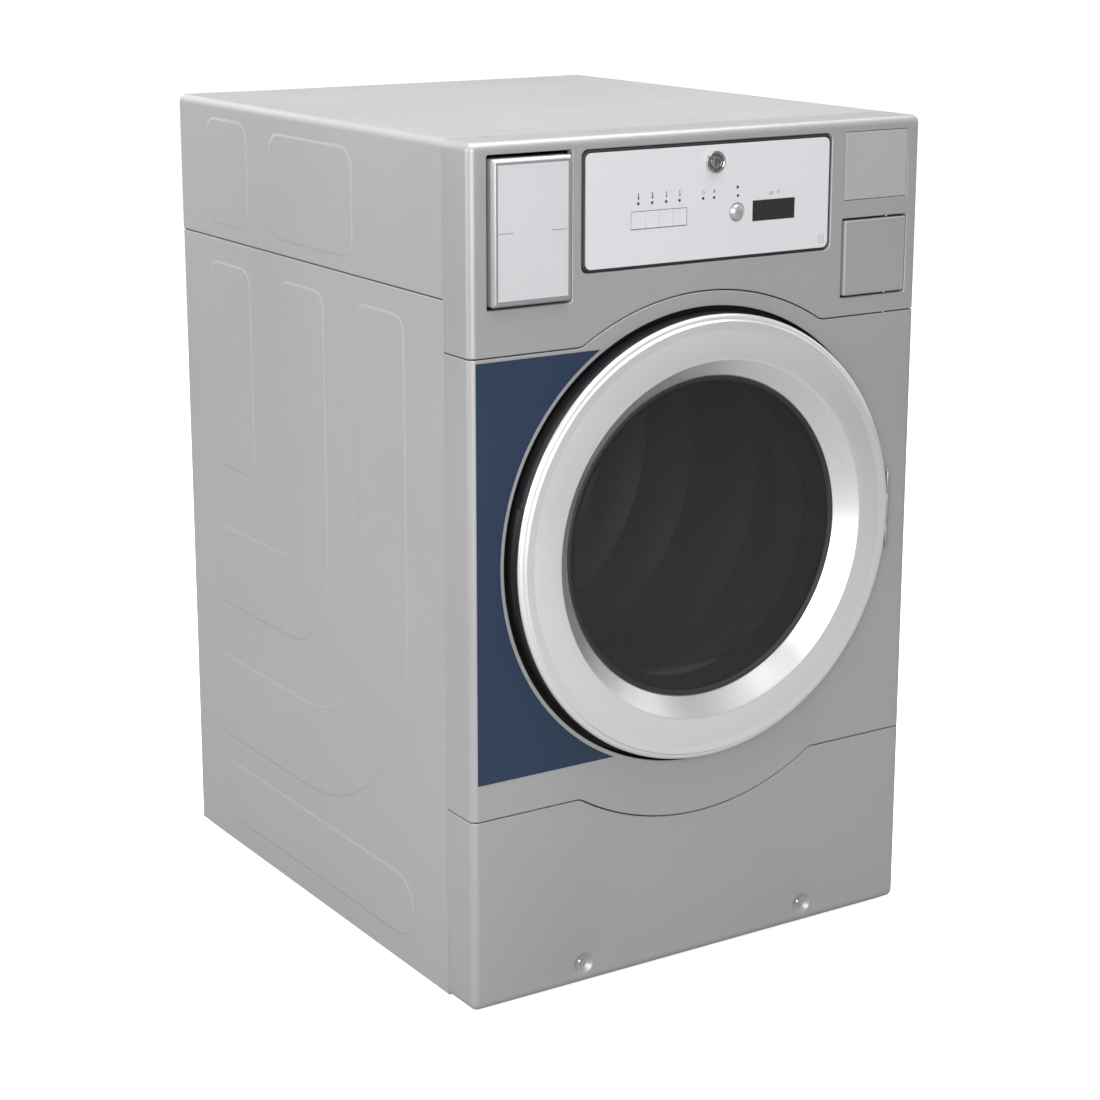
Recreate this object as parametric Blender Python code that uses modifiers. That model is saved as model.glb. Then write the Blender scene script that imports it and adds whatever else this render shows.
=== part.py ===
"""Commercial front-loading tumble dryer: cabinet, door, drum, drive, blower and heater."""

import math

import bmesh
import bpy
from mathutils import Matrix, Vector

# Cabinet, in metres. The origin is on the floor under the middle of the whole machine.
HALF_W = 0.343
FRONT_Y = -0.3985
REAR_Y = 0.3985
BASE_Z = 0.010
TOP_Z = 1.098
SHEET = 0.0009
EMBOSS = 0.001
EDGE_R = 0.010
WRAP = 0.0625
SEAM = 0.0016
GAP = 0.0003
HOOD_Z = 0.907
INNER_W = HALF_W - EMBOSS - SHEET - GAP
WRAP_Y = FRONT_Y + WRAP
PAN_TOP = BASE_Z + 2 * SHEET + 2 * GAP

# Door and the seams that curve around it.
DOOR_Z = 0.581
RING_R = 0.289
RING_FACE = FRONT_Y - 0.030
RECESS_R = 0.2965
RECESS_Y = FRONT_Y + 0.0220
THROAT_R = 0.204
LIP_R = 0.208
SEAM_ARC_Z = 0.553
SEAM_ARC_R = 0.344
UPPER_SEAM_Z = 0.8435
LOWER_SEAM_Z = 0.2625
PLUG_R = 0.1930
STRIKE_X = -0.248
PLUNGER_X = -0.2200
PLUNGER_Z = DOOR_Z - 0.090
PLUNGER_R = 0.0031
HINGE_X = 0.2925
HINGE_Y = FRONT_Y - 0.0153
PIN_R = 0.0013
KNUCKLE_R = 0.0028

# Drum and drive.
DRUM_R = 0.322
DRUM_WALL = 0.0010
DRUM_FRONT = -0.300
DRUM_REAR = 0.296
DRUM_MOUTH_R = 0.228
BULKHEAD_Y = -0.316
REAR_BULKHEAD_Y = 0.318
MOTOR_X = 0.090
MOTOR_Z = 0.143
MOTOR_R = 0.058
SHAFT_R = 0.0055
PULLEY_R = 0.0095
IDLER_X = -0.030
IDLER_Z = 0.2105
IDLER_R = 0.015
IDLER_AXLE_R = 0.0040
PIVOT_X = 0.022
PIVOT_Z = 0.182
BELT_W = 0.008
BELT_T = 0.0026
BELT_GAP = 0.0006
ROLLER_R = 0.030
ROLLER_SIDE = 0.190
ROLLER_SPAN = (0.270, 0.290)
FILTER_Y = -0.3425
INLET_R = 0.062
BLOWER_R = 0.1000
DUCT_X = -0.090
DUCT_Z = 0.102
DUCT_R = 0.051

# Control panel.
KEY_X = (-0.1043, -0.0836, -0.0629, -0.0422)
KEY_Z = 0.9922
KEY_W = 0.0201
KEY_H = 0.0207
START_X = 0.0455
START_R = 0.0112
DISPLAY = (0.0697, 0.1365, 0.9785, 1.0046)
LOCK_X = 0.0093
LOCK_Z = 1.0566
PLATE = (-0.1805, 0.1905, 0.9372, 1.0775)
PLATE_HOLE = (-0.1855, 0.1955, 0.9330, 1.0820)
CARD = (-0.3150, -0.2030, 0.9040, 1.0785)
CARD_HOLE = (-0.3185, -0.1995, 0.9000, 1.0832)
BLANK_HOLE = (0.2172, 0.3215, 0.9940, 1.0820)
COIN_HOLE = (0.2155, 0.3225, 0.8680, 0.9710)
SCREW_X = 0.178
SCREW_Z = 0.037
WELL_R = 0.0155
WELL_FLOOR_R = 0.0100
TERMINAL_X = -0.245
TERMINAL_Z = 0.985
FOOT_X = 0.290
FOOT_Y = 0.300
FOOT_R = 0.018
FOOT_T = 0.009
STEM_R = 0.0050
STEM_TOP = 0.050
FEET = {"front_left": (-1, -1), "front_right": (1, -1), "rear_left": (-1, 1), "rear_right": (1, 1)}

for item in list(bpy.data.objects):
    bpy.data.objects.remove(item, do_unlink=True)

parts = bpy.data.collections.new("tumble_dryer")
cutters = bpy.data.collections.new("cutters")
bpy.context.scene.collection.children.link(parts)
bpy.context.scene.collection.children.link(cutters)


def material(name, colour, roughness, metallic=0.0, alpha=1.0):
    made = bpy.data.materials.new(name)
    made.use_nodes = True
    shader = made.node_tree.nodes["Principled BSDF"]
    shader.inputs["Base Color"].default_value = (*colour, 1.0)
    shader.inputs["Roughness"].default_value = roughness
    shader.inputs["Metallic"].default_value = metallic
    shader.inputs["Alpha"].default_value = alpha
    return made


FINISH = {
    "side_paint": material("side_paint", (0.41, 0.41, 0.41), 0.45, 0.2),
    "front_paint": material("front_paint", (0.34, 0.34, 0.35), 0.4, 0.4),
    "ring_silver": material("ring_silver", (0.68, 0.68, 0.70), 0.3, 0.7),
    "white_plate": material("white_plate", (0.66, 0.67, 0.69), 0.35),
    "navy_film": material("navy_film", (0.032, 0.053, 0.102), 0.4),
    "galvanised": material("galvanised", (0.55, 0.56, 0.57), 0.4, 0.9),
    "stainless": material("stainless", (0.62, 0.62, 0.62), 0.28, 1.0),
    "chrome": material("chrome", (0.75, 0.75, 0.76), 0.12, 1.0),
    "black_plastic": material("black_plastic", (0.02, 0.02, 0.02), 0.5),
    "dark_glass": material("dark_glass", (0.03, 0.03, 0.033), 0.08, 0.0, 0.6),
    "rubber": material("rubber", (0.015, 0.015, 0.015), 0.7),
    "white_plastic": material("white_plastic", (0.7, 0.7, 0.68), 0.5),
    "motor_steel": material("motor_steel", (0.25, 0.26, 0.27), 0.5, 0.8),
    "board_green": material("board_green", (0.03, 0.16, 0.07), 0.5),
    "element": material("element", (0.35, 0.3, 0.26), 0.5, 0.9),
}


def add(name, mesh, finish, collection=parts):
    made = bpy.data.objects.new(name, mesh)
    collection.objects.link(made)
    if finish:
        mesh.materials.append(FINISH[finish])
    if collection is cutters:
        made.hide_render = True
        made.display_type = "WIRE"
    return made


def smooth(thing, angle=35):
    thing.data.shade_smooth()
    thing.data.set_sharp_from_angle(angle=math.radians(angle))
    return thing


def soften(thing, width, segments=2, only=None):
    """Round the edges of a box mesh: all of them, or those that only() picks."""
    shape = bmesh.new()
    shape.from_mesh(thing.data)
    edges = [edge for edge in shape.edges if only is None or only(edge)]
    bmesh.ops.bevel(shape, geom=edges, offset=width, segments=segments, profile=0.5, affect="EDGES")
    shape.to_mesh(thing.data)
    shape.free()
    return thing


def block(name, x, y, z, finish=None, collection=parts):
    """A box from its three (low, high) spans, with its origin at its centre."""
    shape = bmesh.new()
    bmesh.ops.create_cube(shape, size=1.0)
    size = (x[1] - x[0], y[1] - y[0], z[1] - z[0])
    bmesh.ops.scale(shape, vec=size, verts=shape.verts)
    mesh = bpy.data.meshes.new(name)
    shape.to_mesh(mesh)
    shape.free()
    made = add(name, mesh, finish, collection)
    made.location = ((x[0] + x[1]) / 2, (y[0] + y[1]) / 2, (z[0] + z[1]) / 2)
    return made


TURN = {"X": Matrix.Rotation(math.pi / 2, 4, "Y"), "Y": Matrix.Rotation(-math.pi / 2, 4, "X"), "Z": Matrix()}


def rod(name, radius, centre, length, axis="Y", finish=None, sides=32, collection=parts, tip=None):
    """A cylinder, or a cone where tip gives the radius of its far end."""
    shape = bmesh.new()
    far = radius if tip is None else tip
    bmesh.ops.create_cone(shape, cap_ends=True, segments=sides, radius1=radius, radius2=far, depth=length)
    bmesh.ops.transform(shape, matrix=TURN[axis], verts=shape.verts)
    mesh = bpy.data.meshes.new(name)
    shape.to_mesh(mesh)
    shape.free()
    made = add(name, mesh, finish, collection)
    made.location = centre
    return smooth(made)


def turned(name, outline, centre, finish, steps=48, collection=parts, closed=True):
    """Turn a (radius, y) outline about the Y line through centre; y runs down the outer side.

    A closed outline makes a ring. An open one starts and ends on the line and makes a solid.
    """
    shape = bmesh.new()
    points = [shape.verts.new((radius, 0.0, along - centre[1])) for radius, along in outline]
    following = points[1:] + points[:1] if closed else points[1:]
    for first, second in zip(points, following):
        shape.edges.new((first, second))
    mesh = bpy.data.meshes.new(name)
    shape.to_mesh(mesh)
    shape.free()
    made = add(name, mesh, finish, collection)
    screw = made.modifiers.new("turn", "SCREW")
    screw.steps = steps
    screw.render_steps = steps
    screw.use_merge_vertices = True
    screw.merge_threshold = 0.00001
    screw.use_smooth_shade = False
    made.location = centre
    made.rotation_euler = (-math.pi / 2, 0, 0)
    return made


def tube(name, outer, inner, y, centre, finish, steps=48, collection=parts):
    profile = [(outer, y[1]), (outer, y[0]), (inner, y[0]), (inner, y[1])]
    return turned(name, profile, (centre[0], (y[0] + y[1]) / 2, centre[1]), finish, steps, collection)


def arc(centre, radius, start, end, count):
    """Points on a circle in the XZ plane, angles in degrees."""
    spread = [math.radians(start + (end - start) * i / count) for i in range(count + 1)]
    return [(centre[0] + radius * math.cos(a), centre[1] + radius * math.sin(a)) for a in spread]


def plate(name, outline, y, finish=None, collection=parts, holes=()):
    """A flat outline in the XZ plane, from a filled 2D curve, thick from y[0] to y[1]."""
    curve = bpy.data.curves.new(name, "CURVE")
    curve.dimensions = "2D"
    curve.fill_mode = "BOTH"
    curve.extrude = (y[1] - y[0]) / 2
    for points in (outline, *holes):
        spline = curve.splines.new("POLY")
        spline.points.add(len(points) - 1)
        for slot, (px, pz) in zip(spline.points, points):
            slot.co = (px, pz, 0, 1)
        spline.use_cyclic_u = True
    drawn = bpy.data.objects.new(name + "_outline", curve)
    drawn.location = (0, (y[0] + y[1]) / 2, 0)
    drawn.rotation_euler = (math.pi / 2, 0, 0)
    parts.objects.link(drawn)
    bpy.context.view_layer.update()
    mesh = bpy.data.meshes.new_from_object(drawn.evaluated_get(bpy.context.evaluated_depsgraph_get()))
    shape = bmesh.new()
    shape.from_mesh(mesh)
    bmesh.ops.remove_doubles(shape, verts=shape.verts, dist=0.00001)
    bmesh.ops.recalc_face_normals(shape, faces=shape.faces)
    shape.to_mesh(mesh)
    shape.free()
    made = add(name, mesh, finish, collection)
    made.matrix_world = drawn.matrix_world
    bpy.data.objects.remove(drawn)
    return made


def rounded(span, radius, count=4):
    """The outline of a rectangle (x0, x1, z0, z1) with round corners."""
    x0, x1, z0, z1 = span
    points = arc((x1 - radius, z1 - radius), radius, 0, 90, count)
    points += arc((x0 + radius, z1 - radius), radius, 90, 180, count)
    points += arc((x0 + radius, z0 + radius), radius, 180, 270, count)
    points += arc((x1 - radius, z0 + radius), radius, 270, 360, count)
    return points


def ring_points(centre, radius, count):
    return arc(centre, radius, 0, 360, count)[:-1]


def shrink(span, amount):
    return (span[0] + amount, span[1] - amount, span[2] + amount, span[3] - amount)


def boolean(thing, tool, operation):
    step = thing.modifiers.new(operation.lower(), "BOOLEAN")
    step.operation = operation
    step.solver = "EXACT"
    step.object = tool
    return thing


def cut(thing, *tools):
    for tool in tools:
        boolean(thing, tool, "DIFFERENCE")
    return thing


def join(thing, *tools):
    for tool in tools:
        boolean(thing, tool, "UNION")
    return thing


def hole_box(name, x, y, z):
    return block("cut_" + name, x, y, z, None, cutters)


def hole_rod(name, radius, centre, length, axis="Y", sides=32):
    return rod("cut_" + name, radius, centre, length, axis, None, sides, cutters)


def extra_box(name, x, y, z):
    return block("add_" + name, x, y, z, None, cutters)


def extra_rod(name, radius, centre, length, axis="Y", sides=24):
    return rod("add_" + name, radius, centre, length, axis, None, sides, cutters)


def shell(name, x, y, z, finish, open_sides, round_edges=None):
    """A sheet-metal box skin: a cube with some faces taken off, thickened inwards."""
    made = block(name, x, y, z, finish)
    if round_edges:
        soften(made, EDGE_R, 3, round_edges)
    shape = bmesh.new()
    shape.from_mesh(made.data)
    gone = [face for face in shape.faces if any(face.normal.dot(Vector(side)) > 0.999 for side in open_sides)]
    bmesh.ops.delete(shape, geom=gone, context="FACES")
    shape.to_mesh(made.data)
    shape.free()
    skin = made.modifiers.new("sheet", "SOLIDIFY")
    skin.thickness = SHEET
    skin.offset = -1.0
    skin.use_even_offset = True
    return made


def hang(pivot, *things):
    """Parent pieces to an empty on their joint's axis, without moving them."""
    bpy.context.view_layer.update()
    for thing in things:
        thing.parent = pivot
        thing.matrix_parent_inverse = pivot.matrix_world.inverted()


def axis_empty(name, place):
    empty = bpy.data.objects.new(name, None)
    empty.location = place
    parts.objects.link(empty)
    return empty


def seam_cutter(name, upper, grow, far):
    """A cutter between a seam, moved by grow away from the door, and the level far."""
    line = (UPPER_SEAM_Z if upper else LOWER_SEAM_Z) + grow * (1 if upper else -1)
    radius = SEAM_ARC_R + grow
    reach = math.degrees(math.asin(abs(line - SEAM_ARC_Z) / radius))
    ends = (reach, 180 - reach) if upper else (-reach, reach - 180)
    bend = arc((0, SEAM_ARC_Z), radius, *ends, 24)
    outline = [(0.5, far), (0.5, line)] + bend + [(-0.5, line), (-0.5, far)]
    return plate("cut_" + name, outline, (FRONT_Y - 0.05, WRAP_Y + 0.02), None, cutters)


def seam_region(name, upper, grow):
    """A cutter for everything beyond a seam: above the upper one, or below the lower one."""
    return seam_cutter(name, upper, grow, TOP_Z + 0.2 if upper else BASE_Z - 0.2)


def inside_region(name, upper, grow):
    """A cutter for everything on the door's side of a seam."""
    return seam_cutter(name, upper, grow, SEAM_ARC_Z)


def pad(name, outline, side):
    """A raised pad on a side panel, drawn as (y, z) points and turned to face the side."""
    deep = 0.5 * SHEET
    made = plate("add_" + name, outline, (-EMBOSS, deep), None, cutters)
    turn = Matrix.Rotation(-math.pi / 2 if side < 0 else math.pi / 2, 4, "Z")
    flip = Matrix() if side < 0 else Matrix.Scale(-1, 4, (0, 1, 0))
    made.matrix_world = Matrix.Translation((side * (HALF_W - EMBOSS), 0, 0)) @ flip @ turn @ made.matrix_world
    return made


def build_base():
    base = shell("base_pan", (-INNER_W, INNER_W), (WRAP_Y + 0.0030, REAR_Y - 0.0040),
                 (BASE_Z + SHEET + GAP, BASE_Z + 0.022), "galvanised", [(0, 0, 1)])
    for name, (sx, sy) in FEET.items():
        place = (sx * FOOT_X, sy * FOOT_Y, BASE_Z)
        cut(base, hole_rod("foot_hole_" + name, STEM_R + 0.0005, place, 0.02, "Z", 16))


def build_feet():
    for name, (sx, sy) in FEET.items():
        x, y = sx * FOOT_X, sy * FOOT_Y
        foot = rod("levelling_foot_" + name, FOOT_R, (x, y, FOOT_T / 2), FOOT_T, "Z", "rubber", 24)
        join(foot, extra_rod("stem_" + name, STEM_R, (x, y, STEM_TOP / 2 + 0.003), STEM_TOP - 0.006, "Z", 16))
        hang(axis_empty("foot_axis_" + name, (x, y, 0)), foot)


def side_pads(side):
    """Three nested raised pads and a long low one, drawn as (y, z) measured from the body's front foot."""
    z0, y0 = BASE_Z, FRONT_Y
    tag = "left" if side < 0 else "right"
    short = rounded((y0 + 0.583, y0 + 0.714, z0 + 0.568, z0 + 0.866), 0.028)
    bend = (y0 + 0.489, z0 + 0.484)
    middle = [(y0 + 0.497, z0 + 0.866), (y0 + 0.388, z0 + 0.866)]
    middle += arc((y0 + 0.388, z0 + 0.846), 0.020, 90, 180, 3)[1:]
    middle += arc(bend, 0.1205, 180, 270, 8)
    middle += [(y0 + 0.714, z0 + 0.3635), (y0 + 0.714, z0 + 0.4835), (y0 + 0.497, z0 + 0.4835)]
    centre = (y0 + 0.4365, z0 + 0.440)
    large = [(y0 + 0.2848, z0 + 0.866), (y0 + 0.1765, z0 + 0.866)]
    large += arc((y0 + 0.1765, z0 + 0.846), 0.020, 90, 180, 3)[1:]
    large += arc(centre, 0.280, 180, 270, 12) + [(y0 + 0.714, z0 + 0.160), (y0 + 0.714, z0 + 0.281)]
    large += arc(centre, 0.1517, 270, 180, 8)
    low = rounded((y0 + 0.150, y0 + 0.720, z0 + 0.034, z0 + 0.126), 0.044)
    return [pad("%s_pad_%s" % (tag, kind), shape, side)
            for kind, shape in (("short", short), ("middle", middle), ("large", large), ("low", low))]


def build_side(side):
    name = "side_panel_left" if side < 0 else "side_panel_right"
    face = side * (HALF_W - EMBOSS)
    x = tuple(sorted((face, face - side * 0.016)))
    inner = (-side, 0, 0)
    panel = shell(name, x, (WRAP_Y + SEAM / 2, REAR_Y), (BASE_Z, HOOD_Z - SEAM / 2), "side_paint",
                  [inner, (0, 0, 1)])
    join(panel, *side_pads(side))


def hood_pads(side):
    z0, y0 = BASE_Z, FRONT_Y
    tag = "left" if side < 0 else "right"
    rear = rounded((y0 + 0.583, y0 + 0.714, z0 + 0.915, z0 + 1.066), 0.028)
    front = rounded((y0 + 0.285, y0 + 0.520, z0 + 0.915, z0 + 1.060), 0.028)
    return [pad("%s_hood_pad_%s" % (tag, kind), shape, side)
            for kind, shape in (("rear", rear), ("front", front))]


def build_hood():
    outer_w = HALF_W - EMBOSS
    outline = [(outer_w, HOOD_Z + SEAM / 2)]
    outline += arc((outer_w - EDGE_R, TOP_Z - EDGE_R), EDGE_R, 0, 90, 5)
    outline += arc((EDGE_R - outer_w, TOP_Z - EDGE_R), EDGE_R, 90, 180, 5) + [(-outer_w, HOOD_Z + SEAM / 2)]
    outline += [(SHEET - outer_w, HOOD_Z + SEAM / 2)]
    outline += arc((EDGE_R - outer_w, TOP_Z - EDGE_R), EDGE_R - SHEET, 180, 90, 5)
    outline += arc((outer_w - EDGE_R, TOP_Z - EDGE_R), EDGE_R - SHEET, 90, 0, 5)
    outline += [(outer_w - SHEET, HOOD_Z + SEAM / 2)]
    hood = plate("top_hood", outline, (WRAP_Y + SEAM / 2, REAR_Y), "side_paint")
    join(hood, *hood_pads(-1), *hood_pads(1))


def front_edges(edge):
    """The upright edges at the front of a skin."""
    a, b = (vert.co for vert in edge.verts)
    upright = abs(a.z - b.z) > 0.05
    return upright and a.y < 0


def fascia_edges(edge):
    """The front upright edges and every edge of the top but the rear one."""
    a, b = (vert.co for vert in edge.verts)
    at_top = a.z > 0 and b.z > 0
    at_rear = a.y > 0 and b.y > 0
    return front_edges(edge) or (at_top and not at_rear)


def low_edges(edge):
    a, b = (vert.co for vert in edge.verts)
    at_bottom = a.z < 0 and b.z < 0
    at_front = a.y < 0 and b.y < 0
    return front_edges(edge) or (at_bottom and at_front)


def panel_hole(name, span, corner=0.0):
    deep = (FRONT_Y - 0.01, FRONT_Y + 0.02)
    if not corner:
        return hole_box(name, span[:2], deep, span[2:])
    return plate("cut_" + name, rounded(span, corner), deep, None, cutters)


def build_front():
    skin = ((-HALF_W, HALF_W), (FRONT_Y, WRAP_Y - SEAM / 2))
    back, below, above = (0, 1, 0), (0, 0, -1), (0, 0, 1)
    fascia = shell("control_fascia", *skin, (0.70, TOP_Z), "front_paint", [back, below], fascia_edges)
    cut(fascia, inside_region("below_fascia", True, SEAM / 2))
    cut(fascia, panel_hole("card_opening", CARD_HOLE), panel_hole("control_opening", PLATE_HOLE, 0.009))
    cut(fascia, panel_hole("blank_opening", BLANK_HOLE), panel_hole("coin_opening", COIN_HOLE))
    front = shell("front_panel", *skin, (0.19, 0.92), "front_paint", [back, below, above], front_edges)
    cut(front, seam_region("above_front", True, -SEAM / 2), seam_region("below_front", False, -SEAM / 2))
    cut(front, hole_rod("door_opening", RECESS_R, (0, FRONT_Y, DOOR_Z), 0.03, "Y", 72))
    access = shell("lower_access_panel", *skin, (BASE_Z, 0.35), "front_paint", [back, above], low_edges)
    cut(access, inside_region("above_access", False, SEAM / 2))
    for side, tag in ((-1, "left"), (1, "right")):
        build_access_screw(access, tag, side * SCREW_X)


def build_access_screw(access, tag, x):
    """A dished well in the lower panel with a hexagon-headed screw standing in it."""
    cup = extra_box("cup_" + tag, (x - 0.017, x + 0.017), (FRONT_Y + SHEET / 2, FRONT_Y + 0.0075),
                    (SCREW_Z - 0.0165, SCREW_Z + 0.018))
    join(access, cup)
    place = (x, FRONT_Y + 0.0025, SCREW_Z)
    well = rod("cut_well_" + tag, WELL_R, place, 0.0070, "Y", None, 24, cutters, WELL_FLOOR_R)
    shank_r = 0.0024
    cut(access, well, hole_rod("screw_hole_" + tag, shank_r + 0.0005, (x, FRONT_Y, SCREW_Z), 0.03, "Y", 12))
    head = rod("access_screw_" + tag, 0.0048, (x, FRONT_Y + 0.0038, SCREW_Z), 0.0036, "Y", "chrome", 6)
    join(head, extra_rod("shank_" + tag, shank_r, (x, FRONT_Y + 0.012, SCREW_Z), 0.014, "Y", 12))


def build_film():
    radius = RECESS_R + 0.0055
    low, high, left = 0.3105, 0.8385, -0.3350
    start = math.degrees(math.asin((high - DOOR_Z) / radius))
    end = math.degrees(math.asin((DOOR_Z - low) / radius))
    outline = [(left, low), (left, high)] + arc((0, DOOR_Z), radius, 180 - start, 180 + end, 24)
    plate("accent_film", outline, (FRONT_Y - 0.0007, FRONT_Y - GAP), "navy_film")


def build_rear():
    panel = block("rear_panel", (-INNER_W, INNER_W), (REAR_Y - SHEET * 2 - GAP, REAR_Y - SHEET - GAP),
                  (BASE_Z + 0.024, TOP_Z - EDGE_R - SHEET), "galvanised")
    cut(panel, hole_rod("exhaust_hole", DUCT_R + 0.0015, (DUCT_X, REAR_Y, DUCT_Z), 0.02))
    through = (REAR_Y - 0.01, REAR_Y + 0.01)
    for column in range(3):
        for row in range(6):
            x, z = 0.09 + 0.07 * column, 0.50 + 0.03 * row
            cut(panel, hole_box("vent_%d_%d" % (column, row), (x, x + 0.05), through, (z, z + 0.010)))
    half = 0.055
    box_y = (REAR_Y - 0.0006, REAR_Y + 0.0260)
    terminal = shell("terminal_cover", (TERMINAL_X - half, TERMINAL_X + half), box_y,
                     (TERMINAL_Z - half, TERMINAL_Z + half), "galvanised", [(0, -1, 0)])
    entry = (TERMINAL_X, REAR_Y + 0.0130, TERMINAL_Z - half)
    cut(terminal, hole_rod("cable_entry", 0.0140, entry, 0.05, "Z", 24))


def front_face(edge):
    """The edges round the face that looks forward."""
    return all(vert.co.y < 0 for vert in edge.verts)


def set_in(name, hole, y, margin, width, segments, finish):
    """A flat cover that fills an opening but for a margin, with its front edges rounded."""
    x0, x1, z0, z1 = shrink(hole, margin)
    return soften(block(name, (x0, x1), y, (z0, z1), finish), width, segments, front_face)


def build_covers():
    set_in("card_cover", CARD, (FRONT_Y - 0.0080, FRONT_Y + 0.0120), 0.0, 0.0040, 1, "white_plate")
    set_in("coin_drop_blank", BLANK_HOLE, (FRONT_Y, FRONT_Y + 0.0040), 0.0007, 0.0008, 1, "front_paint")
    set_in("coin_box_door", COIN_HOLE, (FRONT_Y - 0.0025, FRONT_Y + 0.0100), 0.0030, 0.0015, 2, "front_paint")


def build_controls():
    keys = (KEY_X[0] - KEY_W / 2 - 0.0005, KEY_X[-1] + KEY_W / 2 + 0.0005, KEY_Z - 0.0109, KEY_Z + 0.0109)
    holes = (rounded(keys, 0.0008, 1), rounded(DISPLAY, 0.0008, 1),
             ring_points((START_X, KEY_Z), START_R + 0.0005, 32), ring_points((LOCK_X, LOCK_Z), 0.0100, 24))
    plate("control_panel", rounded(PLATE, 0.008), (FRONT_Y - 0.0010, FRONT_Y + 0.0060), "white_plate",
          holes=holes)
    plate("panel_gasket", rounded(shrink(PLATE_HOLE, GAP), 0.0087), (FRONT_Y + 0.0015, FRONT_Y + 0.0080),
          "rubber", holes=(rounded(shrink(PLATE, -GAP), 0.0083),))
    plate("display_window", rounded(shrink(DISPLAY, GAP), 0.0008, 1), (FRONT_Y - 0.0008, FRONT_Y + 0.0020),
          "dark_glass")
    for i, x in enumerate(KEY_X):
        span = (x - KEY_W / 2, x + KEY_W / 2, KEY_Z - KEY_H / 2, KEY_Z + KEY_H / 2)
        set_in("temperature_key_%d" % (i + 1), span, (FRONT_Y - 0.0014, FRONT_Y + 0.0050), 0.0, 0.0006, 1,
               "white_plate")
    dome = [(0.0, 0.0050), (START_R, 0.0050), (START_R, 0.0), (0.0108, -0.0014), (0.0085, -0.0034)]
    dome += [(0.0045, -0.0048), (0.0, -0.0052)]
    outline = [(radius, FRONT_Y + along) for radius, along in dome]
    turned("start_button", outline, (START_X, FRONT_Y, KEY_Z), "chrome", 32, closed=False)
    board_y = (FRONT_Y + 0.0180, FRONT_Y + 0.0196)
    block("control_board", (-0.150, 0.150), board_y, (0.945, 1.040), "board_green")


def build_lock():
    """A collar with a sleeve behind it, and the plug that turns in them with its cam."""
    bore = 0.0078
    place = (LOCK_X, LOCK_Z)
    collar = tube("lock_housing", 0.0140, bore, (FRONT_Y - 0.0055, FRONT_Y - 0.0014), place, "chrome", 32)
    sleeve_y = (FRONT_Y - 0.0050, FRONT_Y + 0.0140)
    join(collar, tube("add_lock_sleeve", 0.0095, bore, sleeve_y, place, None, 32, cutters))
    plug = rod("lock_plug", bore - 0.0004, (LOCK_X, FRONT_Y + 0.0055, LOCK_Z), 0.0210, "Y", "chrome", 24)
    slot_x = (LOCK_X - 0.0010, LOCK_X + 0.0010)
    slot_z = (LOCK_Z - 0.0045, LOCK_Z + 0.0045)
    cut(plug, hole_box("key_slot", slot_x, (FRONT_Y - 0.006, FRONT_Y + 0.004), slot_z))
    cam_x = (LOCK_X - 0.0050, LOCK_X + 0.0050)
    cam_z = (LOCK_Z - 0.0050, LOCK_Z + 0.0240)
    join(plug, extra_box("lock_cam", cam_x, (FRONT_Y + 0.0145, FRONT_Y + 0.0165), cam_z))
    hang(axis_empty("lock_axis", (LOCK_X, FRONT_Y, LOCK_Z)), plug)


def quarter(centre, radius, start, end, count):
    """A fillet in a (radius, y) outline, angles in degrees from +radius towards +y."""
    spread = [math.radians(start + (end - start) * i / count) for i in range(count + 1)]
    return [(centre[0] + radius * math.cos(a), centre[1] + radius * math.sin(a)) for a in spread]


def build_door():
    """The ring with its window cone, the glass behind the cone's lip, and the liner that plugs the throat."""
    face, wall = RING_FACE, 0.0040
    cone_end = FRONT_Y - 0.0060
    glass_back = FRONT_Y + 0.0018
    outline = [(RING_R, FRONT_Y + 0.0050)] + quarter((RING_R - 0.007, face + 0.007), 0.007, 0, -90, 4)
    outline += quarter((0.2325, face + 0.0045), 0.0045, -90, -141, 3)
    outline += [(LIP_R + 0.0030, cone_end), (LIP_R, cone_end), (LIP_R, cone_end + 0.0025)]
    outline += [(0.2165, cone_end + 0.0025), (0.2365, face + wall), (0.2800, face + wall)]
    outline += [(RING_R - wall, face + 0.0090), (RING_R - wall, FRONT_Y + 0.0050)]
    ring = turned("door_ring", outline, (0, FRONT_Y, DOOR_Z), "ring_silver", 72)
    grip_depth = 0.0100
    cut(ring, hole_box("grip", (-RING_R - 0.011, grip_depth - RING_R), (FRONT_Y - 0.0160, FRONT_Y - 0.0030),
                       (DOOR_Z - 0.056, DOOR_Z + 0.074)))
    flange = (glass_back + GAP, glass_back + GAP + 0.0030)
    outline = [(RING_R - 0.0043, flange[1]), (RING_R - 0.0043, flange[0]), (PLUG_R, flange[0])]
    outline += [(PLUG_R, FRONT_Y + 0.0385), (PLUG_R + 0.004, FRONT_Y + 0.0385), (PLUG_R + 0.004, flange[1])]
    liner = turned("door_liner", outline, (0, FRONT_Y, DOOR_Z), "white_plastic", 64)
    glass = rod("door_glass", 0.2160, (0, glass_back - 0.0025, DOOR_Z), 0.0050, "Y", "dark_glass", 64)
    strike_y = (FRONT_Y + 0.0054, FRONT_Y + 0.0074)
    strike = block("door_strike", (STRIKE_X - 0.0110, STRIKE_X + 0.0110), strike_y,
                   (DOOR_Z - 0.030, DOOR_Z + 0.030), "stainless")
    join(strike, extra_box("strike_tongue", (STRIKE_X - 0.0025, STRIKE_X + 0.0025),
                           (FRONT_Y + 0.0064, FRONT_Y + 0.0340), (DOOR_Z - 0.011, DOOR_Z + 0.011)))
    leaf = build_hinge()
    pivot = axis_empty("door_hinge_axis", (HINGE_X, HINGE_Y, DOOR_Z))
    hang(pivot, ring, liner, glass, strike, leaf)


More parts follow.
